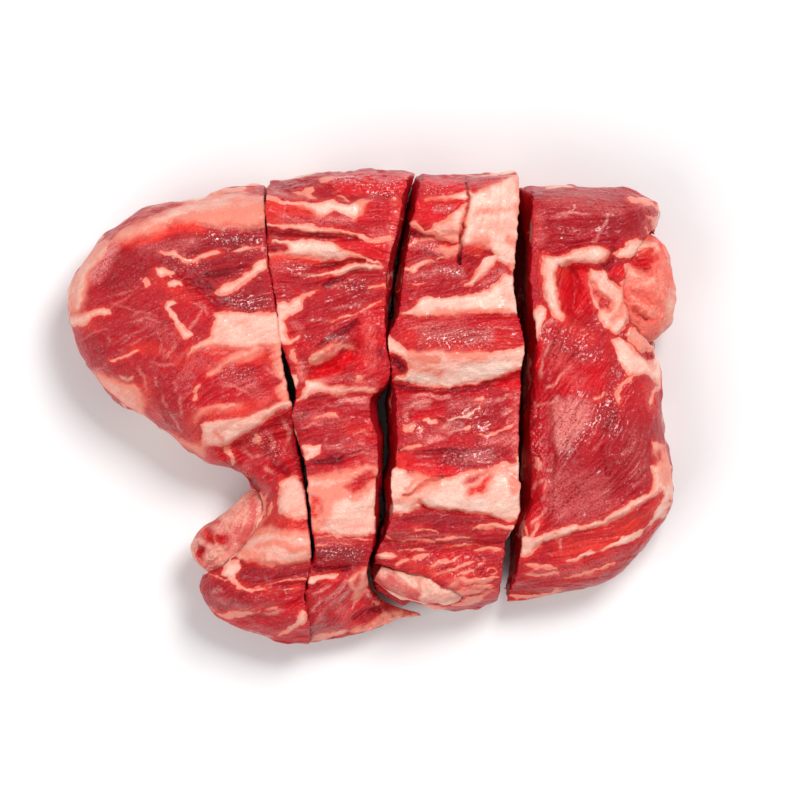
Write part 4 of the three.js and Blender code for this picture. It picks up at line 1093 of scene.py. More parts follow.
# How deep or bright the lean is, with the dark lines along creases painted as shade
for amount, soft, outline in (
    (0.45, 2, [17, 74, 43, 74, 38, 69.6, 33, 67.4, 26, 66.6, 16, 66]),
    (0.9, 2, [14, 65, 30, 64.8, 26, 60.6, 20, 57.8, 14, 58.6]),
    (0.2, 2, [13, 53, 22, 53, 20, 46.6, 12, 45]),
    (-0.3, 2, [11, 43, 20, 44, 30, 40, 36, 38.4, 33, 36, 11, 35]),
    (-0.1, 1.5, [30, 48, 35.6, 46, 34.4, 43, 31, 40.6, 29, 43]),
    (-0.7, 1.2, [41, 44.6, 43, 44, 45.2, 42.8, 45.8, 39.6, 43, 40.6, 41, 39.2, 39, 36.8, 36, 37.4, 40, 42]),
    (0.4, 2, [8, 29, 20, 28.5, 34, 29, 48, 28.4, 49, 19.6, 36, 17.5, 20, 17.6, 10, 20]),
    (-0.5, 3, [17, 24, 26, 25.6, 38, 24.6, 36, 20, 22, 19]),
    (0.8, 1.5, [38, 6.4, 44, 9.6, 49, 10.4, 49, 4]),
    (0.75, 1.2, [13, -2, 17, -1.6, 18, -4, 15, -4.8, 12.6, -4]),
    (0.75, 1.4, [18, -0.6, 24, -1, 23.6, -3.4, 18, -3.6]),
    (-0.4, 3, [24, 3, 42, 2, 42, -5, 26, -9]),
    (0.2, 1.5, [17, -10.4, 32, -9.6, 33, -13, 20, -14]),
    (-0.55, 2.5, [20, -14, 44, -14.6, 42, -18, 30, -20.6, 24, -19]),
    (0.9, 1.4, [9, -15.6, 20, -17.6, 28, -19.6, 28, -21.6, 20, -22.8, 14, -21.2, 9, -19.4]),
    (-0.85, 1.4, [16, -33.4, 24, -34.4, 36, -35.4, 40.6, -37.4, 36, -38.6, 20, -38, 8, -36.6, 8, -35]),
    (-0.4, 2.5, [5, -39, 20, -40, 32, -41, 42, -41, 42, -50, 24, -47, 5, -46.6]),
    (0.2, 2, [14, -51, 24, -51, 36, -51, 42, -56, 30, -55, 20, -53]),
    (0.6, 1.5, [36.6, -57.4, 43, -57, 43, -63, 37, -63]),
    (0.4, 2, [15, -63, 30, -62.6, 36, -64, 20, -66]),
    (0.5, 1, [31, -29, 31, -25.6, 38.6, -21.6, 37, -28]),
    # Painted light: the next two patches are painted brighter, against the dim, greyish light their slopes
    # get from the lamps.
    (0.6, 2, [16, 74, 30, 74, 30, 68, 17, 68]),
    (0.7, 2, [20, -46, 32, -46, 32, -51, 20, -51]),
):
    three.area("tone", amount, soft, outline)
for amount, half, line in (
    (-1.6, 1.6, [12.6, 55.2, 15, 54, 17.4, 53.3, 20, 53]),
    (-1.4, 1.4, [18, 48.4, 20.6, 48, 22.4, 47.3]),
    (-1.3, 1.4, [36.4, 49.4, 38.4, 48.8]),
    (-1.2, 2.2, [8, 14, 10, 11.8, 10.6, 9.6]),
    (-0.9, 1.4, [10, 5.6, 17, 4.9, 24, 4.4, 31, 5, 38, 6.4]),
    (-0.5, 1.3, [9, -14.8, 18, -15.4, 30, -14.6, 40, -14.8]),
    (-1.1, 1, [33.6, -10.4, 38, -9.6, 42, -8.8]),
):
    three.tint("tone", amount, half, line)
# Orange places, film with painted sheen, wet places with painted glints, and rough places
three.area("warm", 0.6, 1, [31, -29, 31, -25.6, 38.6, -21.6, 37, -28])
for amount, half, line in (
    (0.8, 1.4, [18, 65.4, 24, 65.5]),
    (0.7, 3, [42, 72, 45, 74.6]),
    (0.6, 3, [31, 50, 34.4, 49]),
    (0.4, 3, [26, 53, 27, 55]),
    (0.4, 4, [12, 22, 30, 19, 44, 20]),
    (0.4, 3, [46, 2, 46.4, -14]),
    (0.6, 2.4, [14, -21, 20, -23]),
    (0.5, 3, [10, -19, 9, -17]),
    (0.5, 3, [14, -52, 26, -55]),
    (0.35, 4, [20, -64, 30, -64]),
):
    three.tint("warm", amount, half, line)
three.area("film_and_sheen", 0.5, 1, [30, -24.8, 30.6, -23.4, 36, -20.8, 38, -20.6, 34, -24.6])
# Painted light: less film here, against the sheen the lamps leave on this slope.
three.area("film_and_sheen", -0.5, 2, [16, 75, 30, 75, 30, 68, 17, 68])
for amount, half, line in (
    (0.5, 1.6, [18, 68, 22, 69.4, 24, 69]),
    (0.55, 2, [21, 62.2, 26, 62.6]),
    (0.6, 3, [14, 51.6, 20, 51, 22, 49]),
    (0.35, 2.4, [13, 46, 18, 47]),
    (0.5, 2, [12, 41, 20, 42]),
    (0.6, 2.6, [21, 43, 26, 42.4, 29, 41.6]),
    (0.6, 2.4, [41.6, 42.6, 44, 41]),
    (0.55, 2.4, [36, 39, 40, 42]),
    (0.6, 3.6, [17, 22.6, 27, 22.6, 38, 21.6]),
    (0.4, 3, [12, 26, 20, 26.6, 30, 27]),
    (0.45, 2.2, [46.6, 4, 46.4, -18]),
    (0.5, 2.6, [12, 0, 18, 0.6]),
    (0.5, 2.6, [26, 0, 34, 0.6, 38, 1]),
    (0.6, 2.6, [22, -7.6, 28, -7]),
    (0.7, 3.2, [38, -11.4, 44.6, -11]),
    (0.55, 3.4, [31, -16.6, 38, -16.6]),
    (0.4, 2, [12, -10.6, 20, -10.4]),
    (0.5, 3, [26, -57, 34, -58.6, 30, -62]),
    (0.35, 2.4, [6, -41, 20, -42, 32, -43]),
):
    three.tint("film_and_sheen", amount, half, line)
for amount, half, line in (
    (0.6, 3, [18, 68, 24, 69]),
    (0.9, 2.4, [21, 62, 26, 62.6]),
    (0.8, 3, [14, 51, 20, 51]),
    (1, 2.6, [22, 43, 28, 42]),
    (1, 5, [18, 22, 26, 21, 36, 21]),
    (1, 3, [25, -5, 34, -2]),
    (0.8, 3, [28, -7.6, 38, -6.4]),
    (0.6, 3, [10, -5, 16, -8]),
    (0.6, 5, [26, -16.6, 38, -16]),
    (0.4, 6, [20, -50, 34, -52]),
):
    three.tint("glint", amount, half, line)
for amount, half, line in (
    (0.6, 3, [21, 43, 29, 42]),
    (0.5, 4, [12, -3, 20, -6, 30, -5]),
    (0.4, 5, [18, 22, 36, 21]),
    (0.5, 4, [26, -17, 40, -16]),
    (0.5, 3, [12, 50, 20, 49]),
    (0.5, 5, [10, -46, 30, -50, 36, -56]),
):
    three.tint("rough", amount, half, line)
# Fat, lean islands, threads of fat, pale streaks, slits and the fat's tints, each over the ones before
for amount, half, line in (
    (0.9, 2.6, [19, 65.6, 24, 65.8]),
    (0.8, 3, [34, 69, 44, 73]),
    (0.9, 3, [30, 50.4, 36, 50.6]),
    (0.8, 2, [32, 38.6, 38, 44]),
    (0.8, 3, [14, -22, 20, -23.6]),
    (0.7, 5, [20, -54, 30, -59, 36, -60]),
):
    three.tint("soft", amount, half, line)
three.fat(0.1, [31.2, 68.2, 33, 67.4, 35, 68.4, 38, 69.8, 41, 70.8, 43, 72.6, 44.6, 74.6, 45.6, 77, 50, 77,
    50, 62, 50, 30, 45, 30, 45.4, 42.8, 44, 44.4, 42, 44.8, 40.8, 46.6, 39.4, 48.2, 38, 50, 35, 51,
    32, 50.8, 28.6, 50.6, 29.4, 54.6, 30.4, 58, 31.2, 64])
for amount, half, line in (
    (0.45, 2.6, [34, 62, 40, 62, 46, 62.6]),
    (0.5, 1.6, [36.4, 61, 38, 61.4]),
    (0.35, 6, [36, 56, 44, 56]),
    (0.7, 2.6, [44, 53, 46.4, 51]),
    (0.6, 2.4, [33, 52.4, 37, 52.4]),
    (0.6, 2.4, [45.6, 76, 47.6, 70, 47.6, 60]),
    (0.4, 3, [45.6, 44, 46.4, 38]),
):
    three.tint("blush", amount, half, line)
three.fat(0.15, [23.6, 66, 26, 67, 28.6, 67.6, 31, 68.2, 31.2, 65.4, 28, 65.3, 25, 65.6])
three.strand((0.7, 1.2), 0.9, [17.6, 65.4, 21, 65.5, 25, 65.9])
three.fat(0.5, [13, 59.4, 13.3, 57.4, 14.6, 55.8, 17, 54.2, 18.4, 54, 20.3, 54.5, 21.2, 53, 23, 52.2,
    25.5, 51.7, 28.7, 52.2, 29.2, 54.6, 29.8, 57.5, 30.4, 60.6, 31.2, 64.6, 30, 63.8, 27, 61.6, 24.5, 59.4,
    22, 58.4, 19.8, 57.4, 18, 55.8, 17, 55.4, 15.3, 57, 14.2, 58.6])
for line in (
    [21.6, 54.6, 24, 56.4, 26, 57],
    [22.6, 53.4, 25, 54.6, 26.4, 55],
    [25.6, 52.4, 25.8, 54.4],
):
    three.strand(0.5, 1.6, line)
three.tint("blush", -0.35, 2, [28, 61, 28.6, 56])
three.tint("blush", 0.3, 2, [23, 53.4, 26, 52.6])
three.strand((0.8, 0.5), 0.3, [20.6, 52.7, 17, 52.5, 14, 51.8, 12.6, 50.6])
three.fat(0.3, [20.4, 49.4, 22.5, 50.9, 25, 50.2, 28.3, 51.3, 28.2, 49, 26, 47.8, 24.4, 47.4, 22.5, 48.5])
three.tint("soft", 0.9, 2, [22, 50, 26, 49])
three.fat(0.25, [10, 43.6, 12.2, 43, 13.6, 42, 14.8, 42.3, 15.2, 43.6, 17, 44.6, 19.5, 45.3, 21.2, 45.8,
    20, 46.4, 17, 46.1, 14.4, 45, 12.4, 44.2, 10.4, 44.2])
three.strand(0.6, 0.4, [21, 46.4, 23.5, 47.2, 25.4, 47.6, 27.8, 48.4])
three.fat(0.05, [40.6, 47.8, 39, 47.6, 37.6, 47.2, 36, 46.2, 34.6, 44, 33, 41.8, 31.4, 39.8, 29.6, 37.6,
    31.6, 38, 34, 39.4, 36.2, 41, 38.4, 43, 40, 45, 41.4, 46.4])
three.tint("blush", 0.15, 2, [36, 43.6, 33, 40])
three.strand(0.7, 0.5, [12, 38.6, 15, 38, 17, 38.4, 20, 39.3])
# Painted highlight: this thread is a white glint on the wet lean.
three.strand(0.5, 0.3, [33, 47.2, 35, 47.4])
three.fat(0.1, [7.6, 28.8, 11.4, 29.6, 14.2, 31.4, 15.5, 33.7, 18, 34.3, 23.8, 34.3, 30.2, 34.9, 32.8, 35.2,
    35.4, 36.2, 37.9, 37.2, 40.5, 39.6, 43, 42.2, 44.6, 41.4, 50, 40, 50, 28.4, 46, 29, 38, 29.4, 30, 28.8,
    24, 28.5, 17, 28.2, 12, 28.6])
three.tint("blush", 0.3, 3, [42, 39, 44, 33])
three.tint("blush", 0.5, 1.6, [14, 29.4, 30, 29.6, 44, 30.2])
three.wisp(0.7, 0.6, [12.3, 24, 17, 25, 23.8, 26])
three.wisp(0.5, 0.5, [36, 24, 42, 24.6, 46, 23.6])
three.fat(0.2, [4, 22.4, 5.8, 22.2, 7.4, 20.8, 9.6, 19, 12, 17.6, 15, 16.9, 18, 17.4, 23.8, 17.2, 30, 16.6,
    34, 17, 38, 16.4, 43, 17.3, 50, 19.4, 50, 12, 48, 11.6, 44.3, 10.4, 40.5, 8.6, 35.4, 7.4, 30, 6,
    23.8, 5.4, 17.4, 6, 12.3, 7.2, 7.2, 7.8, 8.6, 9.4, 11, 9.6, 12, 11.6, 11.4, 13.8, 9, 15.6, 4, 17.6])
for amount, half, line in (
    (1, 2.4, [13, 15.6, 18, 14.4, 21, 14.4]),
    (0.6, 2.6, [13, 12, 18, 11, 22, 10]),
    (0.5, 2.6, [26, 15.6, 36, 15]),
    (-0.2, 3, [30, 11.4, 44, 13]),
):
    three.tint("blush", amount, half, line)
three.strand(0.6, 0.3, [8, 8.4, 12, 8.6, 15, 9.8])
three.tint("soft", 0.9, 3.4, [14, 17, 24, 17.4, 34, 17])
for line in (
    [10.6, -1.6, 12, -0.4, 14, 0.5, 17, 1.1, 19.4, 1.2],
    [10.8, -2.4, 11.4, -4.8],
    [14, -0.8, 18, 0],
    [22.4, -8, 24, -6.6, 26, -5.6],
    [24, -9, 28, -7.8, 30, -8],
    [17, -11.4, 21, -10.8, 24, -10.6],
    [13, 2.8, 19, 3, 25, 2.4],
    [42, -3.4, 45, -1.6],
    [40, 1, 45, 2.8],
):
    three.wisp(1, 0.85, line)
three.fat(0.45, [10.2, -6.4, 12, -5.6, 14.4, -5.8, 14, -7.2, 13, -8.4, 11.4, -8.8, 10.2, -8])
for width, blush, line in (
    (0.8, 0.2, [15, -8.6, 16.6, -7.4]),
    (0.9, 0.1, [16.8, -4.8, 18.2, -4.3, 18.8, -5.4, 20, -5.8, 21.2, -4.9]),
    # Painted highlights: the next two threads are white glints on the wet lean.
    (1.3, 0, [24.6, -5, 27, -4, 30, -3.4, 32, -2.7, 35, -1.4]),
    (1.1, 0.05, [29.4, -7.7, 31.8, -7]),
    (0.9, 0.1, [33.4, 1.4, 36, 2]),
    (0.5, 0.1, [36, -7.1, 38.4, -6.1]),
    (0.7, 0.5, [34, -9.9, 38, -8.9, 42, -7.8, 44.8, -6.6]),
):
    three.strand(width, blush, line)
three.wisp(0.6, 0.6, [15, -16.4, 19.6, -16.7])
three.wisp(0.6, 0.6, [14, -18.8, 20, -19.2])
three.fat(0.3, [8, -15, 10, -14.2, 12, -13, 15.6, -12, 16.6, -12.8, 14, -13.8, 10.4, -14.7])
three.fat(0.12, [4, -19.6, 8.4, -19.8, 10, -20, 12, -21, 14, -21.6, 17, -22.8, 20, -23.6, 23, -22.9,
    25, -23, 27.6, -22.6, 29, -21.4, 31, -20.9, 35, -20.6, 37.4, -20.3, 40, -19, 42, -18.2, 44, -18.2,
    46, -19, 46.8, -17.4, 48, -15, 50, -20, 51, -34, 48.4, -34.4, 47, -36.4, 44, -37, 42, -36.6, 40, -36,
    38, -35.1, 36, -34.7, 32, -34.4, 28, -34.1, 24, -33.5, 20, -32.8, 18, -32.2, 16.6, -31.4, 15.6, -32.6,
    12, -34.2, 8, -34.8, 5, -33.8])
three.lean(0.5, [30, -24.4, 30.6, -23.8, 32.4, -22.8, 34.4, -22, 36, -21.4, 37.8, -20.8, 35, -23,
    33.6, -24.4, 31.4, -24.8])
three.lean(0.7, [31.4, -27, 31.6, -26, 33.6, -25.6, 35, -24.6, 36.6, -23, 38, -22, 38.4, -23, 37.2, -25.2,
    36.6, -27, 35.6, -28, 33.6, -27.8, 32.4, -28.6, 31.2, -28.4])
for amount, half, line in (
    (0.9, 2.6, [45.6, -24.4, 46, -27.4]),
    (0.5, 3, [39, -20.6, 44, -20.4, 46, -22]),
    (0.8, 1.1, [11.4, -26.6, 12.6, -25.6, 13.4, -24.6, 14.4, -24.2]),
    (0.45, 3, [12, -22, 20, -25]),
    (0.5, 3, [9, -30, 14, -31]),
    (0.35, 4, [16, -28, 22, -26]),
    (-0.2, 3, [22, -31, 36, -31.6]),
):
    three.tint("blush", amount, half, line)
three.cut(0.3, 0.8, [10.8, -28.8, 14, -27, 17, -25.2, 20, -24, 23, -22.9])
for blush, line in (
    (0.8, [15.6, -32.8, 12, -33.8, 9, -35]),
    (0.6, [14, -39.4, 17, -39.4, 22, -40.3]),
    (0.6, [5, -41.6, 7, -43.2, 10.7, -43.5, 15.2, -43.2, 21, -43.8]),
    (0.6, [21, -42.9, 25, -42.5, 31, -41.9]),
    (0.6, [9, -46.6, 14, -46.2, 18, -46.8]),
    (0.6, [24, -45.4, 30, -44.6, 36, -44.8]),
):
    three.strand(0.6, blush, line)
three.fat(0.3, [32, -39.8, 35, -38.3, 39, -37.9, 43, -38, 50, -38.6, 50, -41, 44, -40, 38, -39.2])
three.fat(0.25, [1.6, -48, 4, -47.2, 7, -47.2, 8.8, -48.2, 7, -49.4, 4, -49.6])
for width, blush, line in (
    (0.9, 0.55, [8, -50.8, 12, -49.8, 15, -49, 19, -48]),
    (0.9, 0.55, [19, -52.2, 22, -50.4, 26, -50.2, 28.6, -48.4]),
    (0.9, 0.55, [21, -54.2, 25, -53, 30, -51, 33, -50.4]),
    (0.9, 0.55, [28, -54, 33, -52.6, 36, -50.6]),
    (0.9, 0.55, [33, -46.6, 38, -45.6, 42, -46]),
    (1.7, 0.6, [25.4, -57.6, 30, -56, 35, -56, 41, -55.6]),
    (1.7, 0.6, [28, -60.4, 34, -59.4, 40, -58]),
    (1.7, 0.6, [30, -63, 35, -61.4, 38, -60]),
    (0.6, 0.5, [37.6, -53.4, 38.4, -52.2, 40, -52, 41, -53, 40, -54.2, 38.4, -54.2]),
    (0.5, 0.6, [17, -64.2, 22, -64.6, 28, -63.8, 32, -64]),
):
    three.strand(width, blush, line)
three.cut(0.6, 1.6, [29.9, 57.4, 29, 54, 28.7, 51.5, 28.4, 48.5, 28.2, 44.8])
three.cut(0.3, 1.1, [30.4, 74.4, 30.8, 70.5, 31.2, 68.3, 31.6, 66.4, 31.2, 64, 30.8, 61, 30.2, 58.5,
    29.7, 56.5])
three.tint("blush", -0.3, 4, [10, 8.6, 24, 8, 40, 11])
# Ridges and creases
for height, half, line in (
    (-1.5, 1.3, [12.4, 55.4, 15, 54.2, 17.4, 53.4, 20.4, 53, 23, 51.8, 26, 51.4]),
    (0.8, 2.4, [13.6, 58.4, 16.4, 56, 21, 56, 27, 56.4]),
    (-0.7, 1.2, [26, 64.8, 22, 64.6, 16, 64.6]),
    (-0.8, 2.4, [31, 46, 33.4, 44, 32, 41.6]),
    (-1, 1.3, [8, 28.6, 13, 27.8, 22, 27.8, 33, 28.4, 47, 28.4]),
    (-1.8, 2, [7, 14.6, 9.6, 12.4, 10.4, 9.8]),
    (-1.3, 1.5, [7, 5.6, 17, 4.8, 25, 4.4, 33, 5.2, 39, 7, 48, 9.6]),
    (-1.2, 1.2, [15.8, -30.6, 16.6, -31.6, 18, -32.5, 20, -33.1, 24, -33.9, 28, -34.4, 32, -34.7, 36, -35,
        40, -36.4]),
    (-0.9, 1.2, [9, -14.9, 20, -15.2, 30, -14.6]),
    (0.6, 1.6, [24, -5, 30, -3.6, 35, -1.6]),
    (-0.8, 1.2, [33, -40.6, 38, -39.6, 45, -40.6]),
    (-0.7, 1.2, [4, -44.2, 10, -44, 16, -43.8, 22, -44.4, 32, -43]),
    (-0.6, 1.1, [24, -52.4, 30, -52.6, 36, -53.4]),
    (-0.6, 1.1, [28, -58, 36, -57.2, 41, -57]),
    (-0.6, 1.1, [30, -61.4, 38, -59.6]),
):
    three.raise_up(height, half, line)
three.finish(meat)

# The fourth slice: the far end of the piece, with one saw cut and the neck's own surface at its right. Fat
# hooks round a hollow at the top, and wet muscle falls away towards the saw cut.
four = Flesh(
    "slice_4",
    voxel=0.84,
    walls={
        -1: [(72, 0, 2.4), (30, 0, 2.4), (20, 0.5, 2.6), (-38, 0.5, 2.6), (-44, 0, 1), (-50, 0, 0)],
    },
    fibres=[(60, 65, -4), (80, 64, -10), (60, 52, 4), (85, 56, 30), (54, 40, 85), (66, 36, 60),
        (76, 34, 70), (80, 26, 20), (56, 18, 60), (66, 12, 40), (76, 4, 75), (88, 2, 30), (62, -6, 55),
        (76, -10, 60), (90, -10, 80), (54, -24, 80), (66, -26, 20), (80, -26, 40), (56, -36, 35),
        (70, -42, 12), (84, -38, 35), (60, -52, 4), (76, -52, 18), (56, -60, 2)],
)
# How deep or bright the lean is, with the dark lines along creases painted as shade
for amount, soft, outline in (
    (-0.45, 3, [51, 70, 92, 66, 90, 58, 80, 53, 68, 51, 56, 49, 52, 56]),
    (-0.3, 3, [74, 63, 86, 62, 84, 54, 74, 53]),
    (0.9, 2.5, [61, 43, 64, 45, 71, 45, 70, 38, 71, 32, 66, 28, 61, 31, 60, 37]),
    (0.6, 2, [76, 45, 81, 43, 91, 47, 91, 42, 82, 41]),
    (0.25, 3, [52, 30, 60, 26, 76, 22, 78, 8, 66, 2, 54, 4]),
    (0.5, 3, [60, 13, 76, 14, 76, 3, 62, 3]),
    (0.2, 3, [79, 10, 93, 8, 94, -6, 80, -6]),
    (-0.55, 4, [76, -4, 93, -6, 89, -28, 74, -30]),
    (-0.25, 4, [56, -15, 74, -15, 76, -36, 58, -38]),
    (0.5, 2.5, [48, 20, 54, 20, 55, 6, 57, -18, 55, -40, 48, -40]),
    (0.15, 3, [50, -46, 90, -40, 86, -50, 70, -58, 46, -60]),
    (0.6, 2.5, [88, -46, 97, -34, 97, -29, 94, -30, 86, -42]),
    (0.3, 1, [70.9, 39, 72.2, 37, 73.4, 35.4, 75, 34.6, 76.4, 33.6, 77, 32.2, 75.6, 30.6, 73, 33.4,
        71.8, 36]),
    (0.9, 1.2, [75.8, 42.4, 77.6, 43.8, 79, 44.4, 81, 44.4, 81.8, 42.6, 81, 41, 78, 40.8]),
):
    four.area("tone", amount, soft, outline)
four.tint("tone", -1, 2.6, [77, 49, 78, 47, 75, 44.6])
four.tint("tone", 1.2, 3, [52.5, 20, 52, 14, 52.4, 8])
four.tint("tone", -0.6, 2, [89, 14, 90, 11.6])
# Orange places, film with painted sheen, and wet places with painted glints
for amount, half, line in (
    (0.6, 3.5, [57, 42, 62, 42.4]),
    (0.6, 3, [60, -48, 76, -44.6, 90, -34, 93, -27.5]),
    (0.4, 4, [62, 26, 70, 21]),
    (0.4, 4, [88, 6, 90, 0]),
    (0.35, 4, [52, 54, 53, 60]),
    (0.5, 3, [91, 24, 86, 24]),
    (0.5, 4, [60, -45, 72, -43, 84, -37]),
):
    four.tint("warm", amount, half, line)
# Film and painted sheen on the wet place by the glints.
four.area("film_and_sheen", 0.75, 1.6, [57.6, -1, 59, 1.4, 62, 2.2, 66, 2.4, 69.4, 1.4, 70, -3, 69, -6, 67, -8,
    65, -11, 62, -14.4, 60, -15, 57.6, -11.6, 56.4, -6.6])
four.area("film_and_sheen", 0.4, 3, [58, -20, 76, -22, 77, -34, 66, -38, 58, -37])
for amount, half, line in (
    (0.35, 5, [58, 66, 68, 65, 78, 62]),
    (0.4, 4, [87, 64, 92, 62]),
    (0.35, 3, [54, 52, 54, 60]),
    (0.35, 5, [58, 16, 66, 8]),
    (0.3, 5, [84, -10, 86, -22]),
    (0.35, 4, [56, -24, 60, -34]),
    (0.4, 4, [56, -54, 70, -53, 80, -48]),
    (0.5, 4, [72, 38, 80, 30, 83, 27]),
):
    four.tint("film_and_sheen", amount, half, line)
for amount, half, line in (
    (1.2, 3.4, [61, -16, 64, -13.6, 67.6, -9, 73, -5, 75.6, -3]),
    (0.9, 4, [74, -2, 77, -8]),
    (0.9, 5, [55, 22, 62, 20, 70, 16]),
    (0.7, 5, [77.5, 9, 77.5, -2]),
    (0.7, 5, [52, 0, 54, -20]),
):
    four.tint("glint", amount, half, line)
# Fat, lean islands, threads of fat, pale streaks and the fat's tints, each over the ones before
four.fat(0.2, [54.4, 47.6, 61, 47.2, 64, 49.2, 68, 50.4, 73, 50.7, 76.6, 48.6, 74.5, 46, 72, 45, 68, 45.3,
    64, 45.5, 62, 43.7, 60, 44.6, 58.6, 42, 59.4, 38, 60, 35, 61, 31, 62, 28, 61.5, 26.8, 58.6, 28,
    56.6, 31, 55, 36, 54.7, 40, 54.4, 46])
four.fat(0.3, [52, 31, 54, 32, 56.4, 30, 56, 27.4, 54.6, 26, 53.4, 23, 52.4, 20, 50.8, 22, 50.4, 27,
    51.2, 30])
four.fat(0.3, [57, 32, 61, 31.6, 61.8, 28, 61, 26.4, 59.4, 27.6, 57.6, 29.4])
four.wisp(0.9, 0.65, [71, 52, 73, 55, 75, 58.5, 76, 61])
four.wisp(0.9, 0.65, [58, 60, 64, 61.4, 70, 60.6])
four.strand(1.6, 0.4, [82.4, 66, 88, 65.6, 92.4, 63])
four.fat(0.15, [77, 48.2, 79, 49.6, 81, 50.2, 82.5, 52.5, 85, 53.4, 88, 52.8, 90.4, 52.4, 92.4, 50.2,
    88, 50, 85, 47.6, 82, 46.6, 79, 46.8])
four.fat(0.3, [69.4, 41.2, 70.2, 43.8, 72.4, 43.2, 74.6, 43, 75.6, 41.6, 76.6, 39.6, 80, 37.8, 84, 38.6,
    86, 34, 86, 30, 85, 27, 83.4, 26.4, 82, 26, 81, 24.6, 80, 23, 78, 22.6, 76.4, 23.4, 74.5, 24.8, 73, 27,
    72.5, 29.6, 74.4, 31, 73.4, 33.6, 71.6, 37])
four.fat(0.45, [81, 45, 83.6, 44.6, 86, 42.8, 86, 38, 81, 37.4, 79.6, 39, 81.8, 40.6])
four.strand(1.5, 0.2, [70.2, 39.4, 70.8, 36, 71.4, 33.6, 72, 31.6, 73, 29.6])
four.lean(0.4, [70.9, 39, 72.2, 37, 73.4, 35.4, 75, 34.6, 76.4, 33.6, 77, 32.2, 75.6, 30.6, 74.4, 31.6,
    73, 33.4, 71.8, 36])
four.tint("blush", 0.45, 1.3, [79.5, 38.8, 81.5, 38, 83.6, 38.6])
four.tint("blush", 0.5, 4, [83, 36, 84, 31, 83, 28])
four.fat(0.6, [88, 60.5, 91.4, 60.4, 95.6, 53, 99, 46, 99.4, 30, 97, 23, 94, 18.6, 90, 17, 86, 17, 82.6, 20,
    81.4, 23, 84, 25, 86, 30, 86, 42, 90, 44, 92.4, 48, 92.6, 54])
four.strand(1, 0.9, [88, 57, 92, 52, 94, 47, 95.4, 43])
four.fat(0.15, [76.4, 21, 80, 21.8, 83, 19, 86, 15.8, 89, 14.2, 95.6, 16.6, 95.6, 8, 91.4, 7, 89, 9.8,
    86, 9.8, 84, 9, 82, 10, 80, 13, 78.2, 17])
for line in (
    [83.5, 9, 82, 8, 80, 6, 79.3, 4, 79, 0],
    [92.8, 6, 91, 5, 90, 2.5, 89.4, 0],
    [74.8, 3.5, 73, 2.2, 70.6, 2],
):
    four.strand(1, 0.25, line)
for line in (
    [53, 21, 54, 24, 56, 26, 58, 27, 59.6, 26.6],
    [54.4, 8, 54.8, 13, 55.6, 17, 57, 20],
    [55.4, 4.4, 58, 6.4, 61, 10, 63, 12],
    [51.4, 2, 53, 0, 56, 0.4, 59, 1.4, 60, 3],
    [71, 2, 74, 3, 75, 4],
    [50.4, -28, 52, -26, 54, -24.4, 55.6, -23.6],
    [56, -23.4, 55.6, -27],
    [56.4, -20.4, 58, -21],
    [55.8, -33, 54, -36, 51.4, -38],
    [54, -37, 52, -40, 50.6, -42.4],
    [61, -42.5, 60.5, -44, 61, -46],
):
    four.wisp(0.8, 0.9, line)
four.strand(1.6, 0.7, [52.6, -16.6, 53.6, -20.6])
four.fat(0.3, [90, -11.5, 93, -12.2, 97.4, -11, 99.4, -20, 99.6, -29, 96.4, -31, 93, -27.6, 90.4, -28.6,
    88, -28.8, 90, -26.6, 90, -22, 89, -19.6, 91, -18.9, 92, -17, 90, -14])
four.lean(0.5, [91.6, -14.6, 93.4, -14, 93, -17.4, 91.8, -17.8])
four.fat(0.15, [49, -46, 50.6, -43.4, 53, -41.8, 56, -41, 60, -39.8, 62, -38.8, 65, -38, 66.4, -38.6,
    70, -37.6, 71, -36.6, 74, -36.6, 76, -35, 78, -33.8, 82, -31.6, 85, -29.8, 88, -28.6, 91, -26, 92, -28,
    88, -30.6, 84, -33.6, 80, -35.8, 78, -36.8, 75, -38.4, 71, -39.2, 67, -40.2, 63, -41.6, 60, -42.4,
    56, -43.4, 52, -45])
four.fat(0.3, [46.6, -42, 50, -41.6, 53, -42.6, 56, -42.4, 54, -45.4, 51.4, -48, 47.4, -48.6])
for width, blush, line in (
    (0.9, 0.4, [49, -36, 50, -42]),
    (0.9, 0.4, [54, -37, 51, -42.6]),
    ((0.8, 3), 0.1, [63, -49.8, 70, -47.6, 75, -45.8, 80, -44, 85, -41.5, 89, -38.5, 92, -35, 94, -31,
        95, -27.4]),
    (0.8, 0.6, [49, -51, 54, -51.6, 59, -52]),
    (0.8, 0.6, [50, -54, 55, -54.4, 60, -53.6]),
    (0.8, 0.6, [62, -56, 70, -53.6, 78, -50.4]),
    (2.2, 0.75, [44, -60.6, 50, -61.6, 56, -61, 61, -59.6]),
):
    four.strand(width, blush, line)
# Painted sheen: this pale patch lies over the wet place by the glints.
four.area("wisp", 0.5, 2, [57.6, -1, 62, 2.2, 69, 1.4, 69, -6, 65, -11, 60, -15, 57.6, -11])
four.tint("blush", 0.5, 4, [95, -16, 94.6, -24])
four.tint("blush", 0.25, 4, [78, 30, 82, 34])
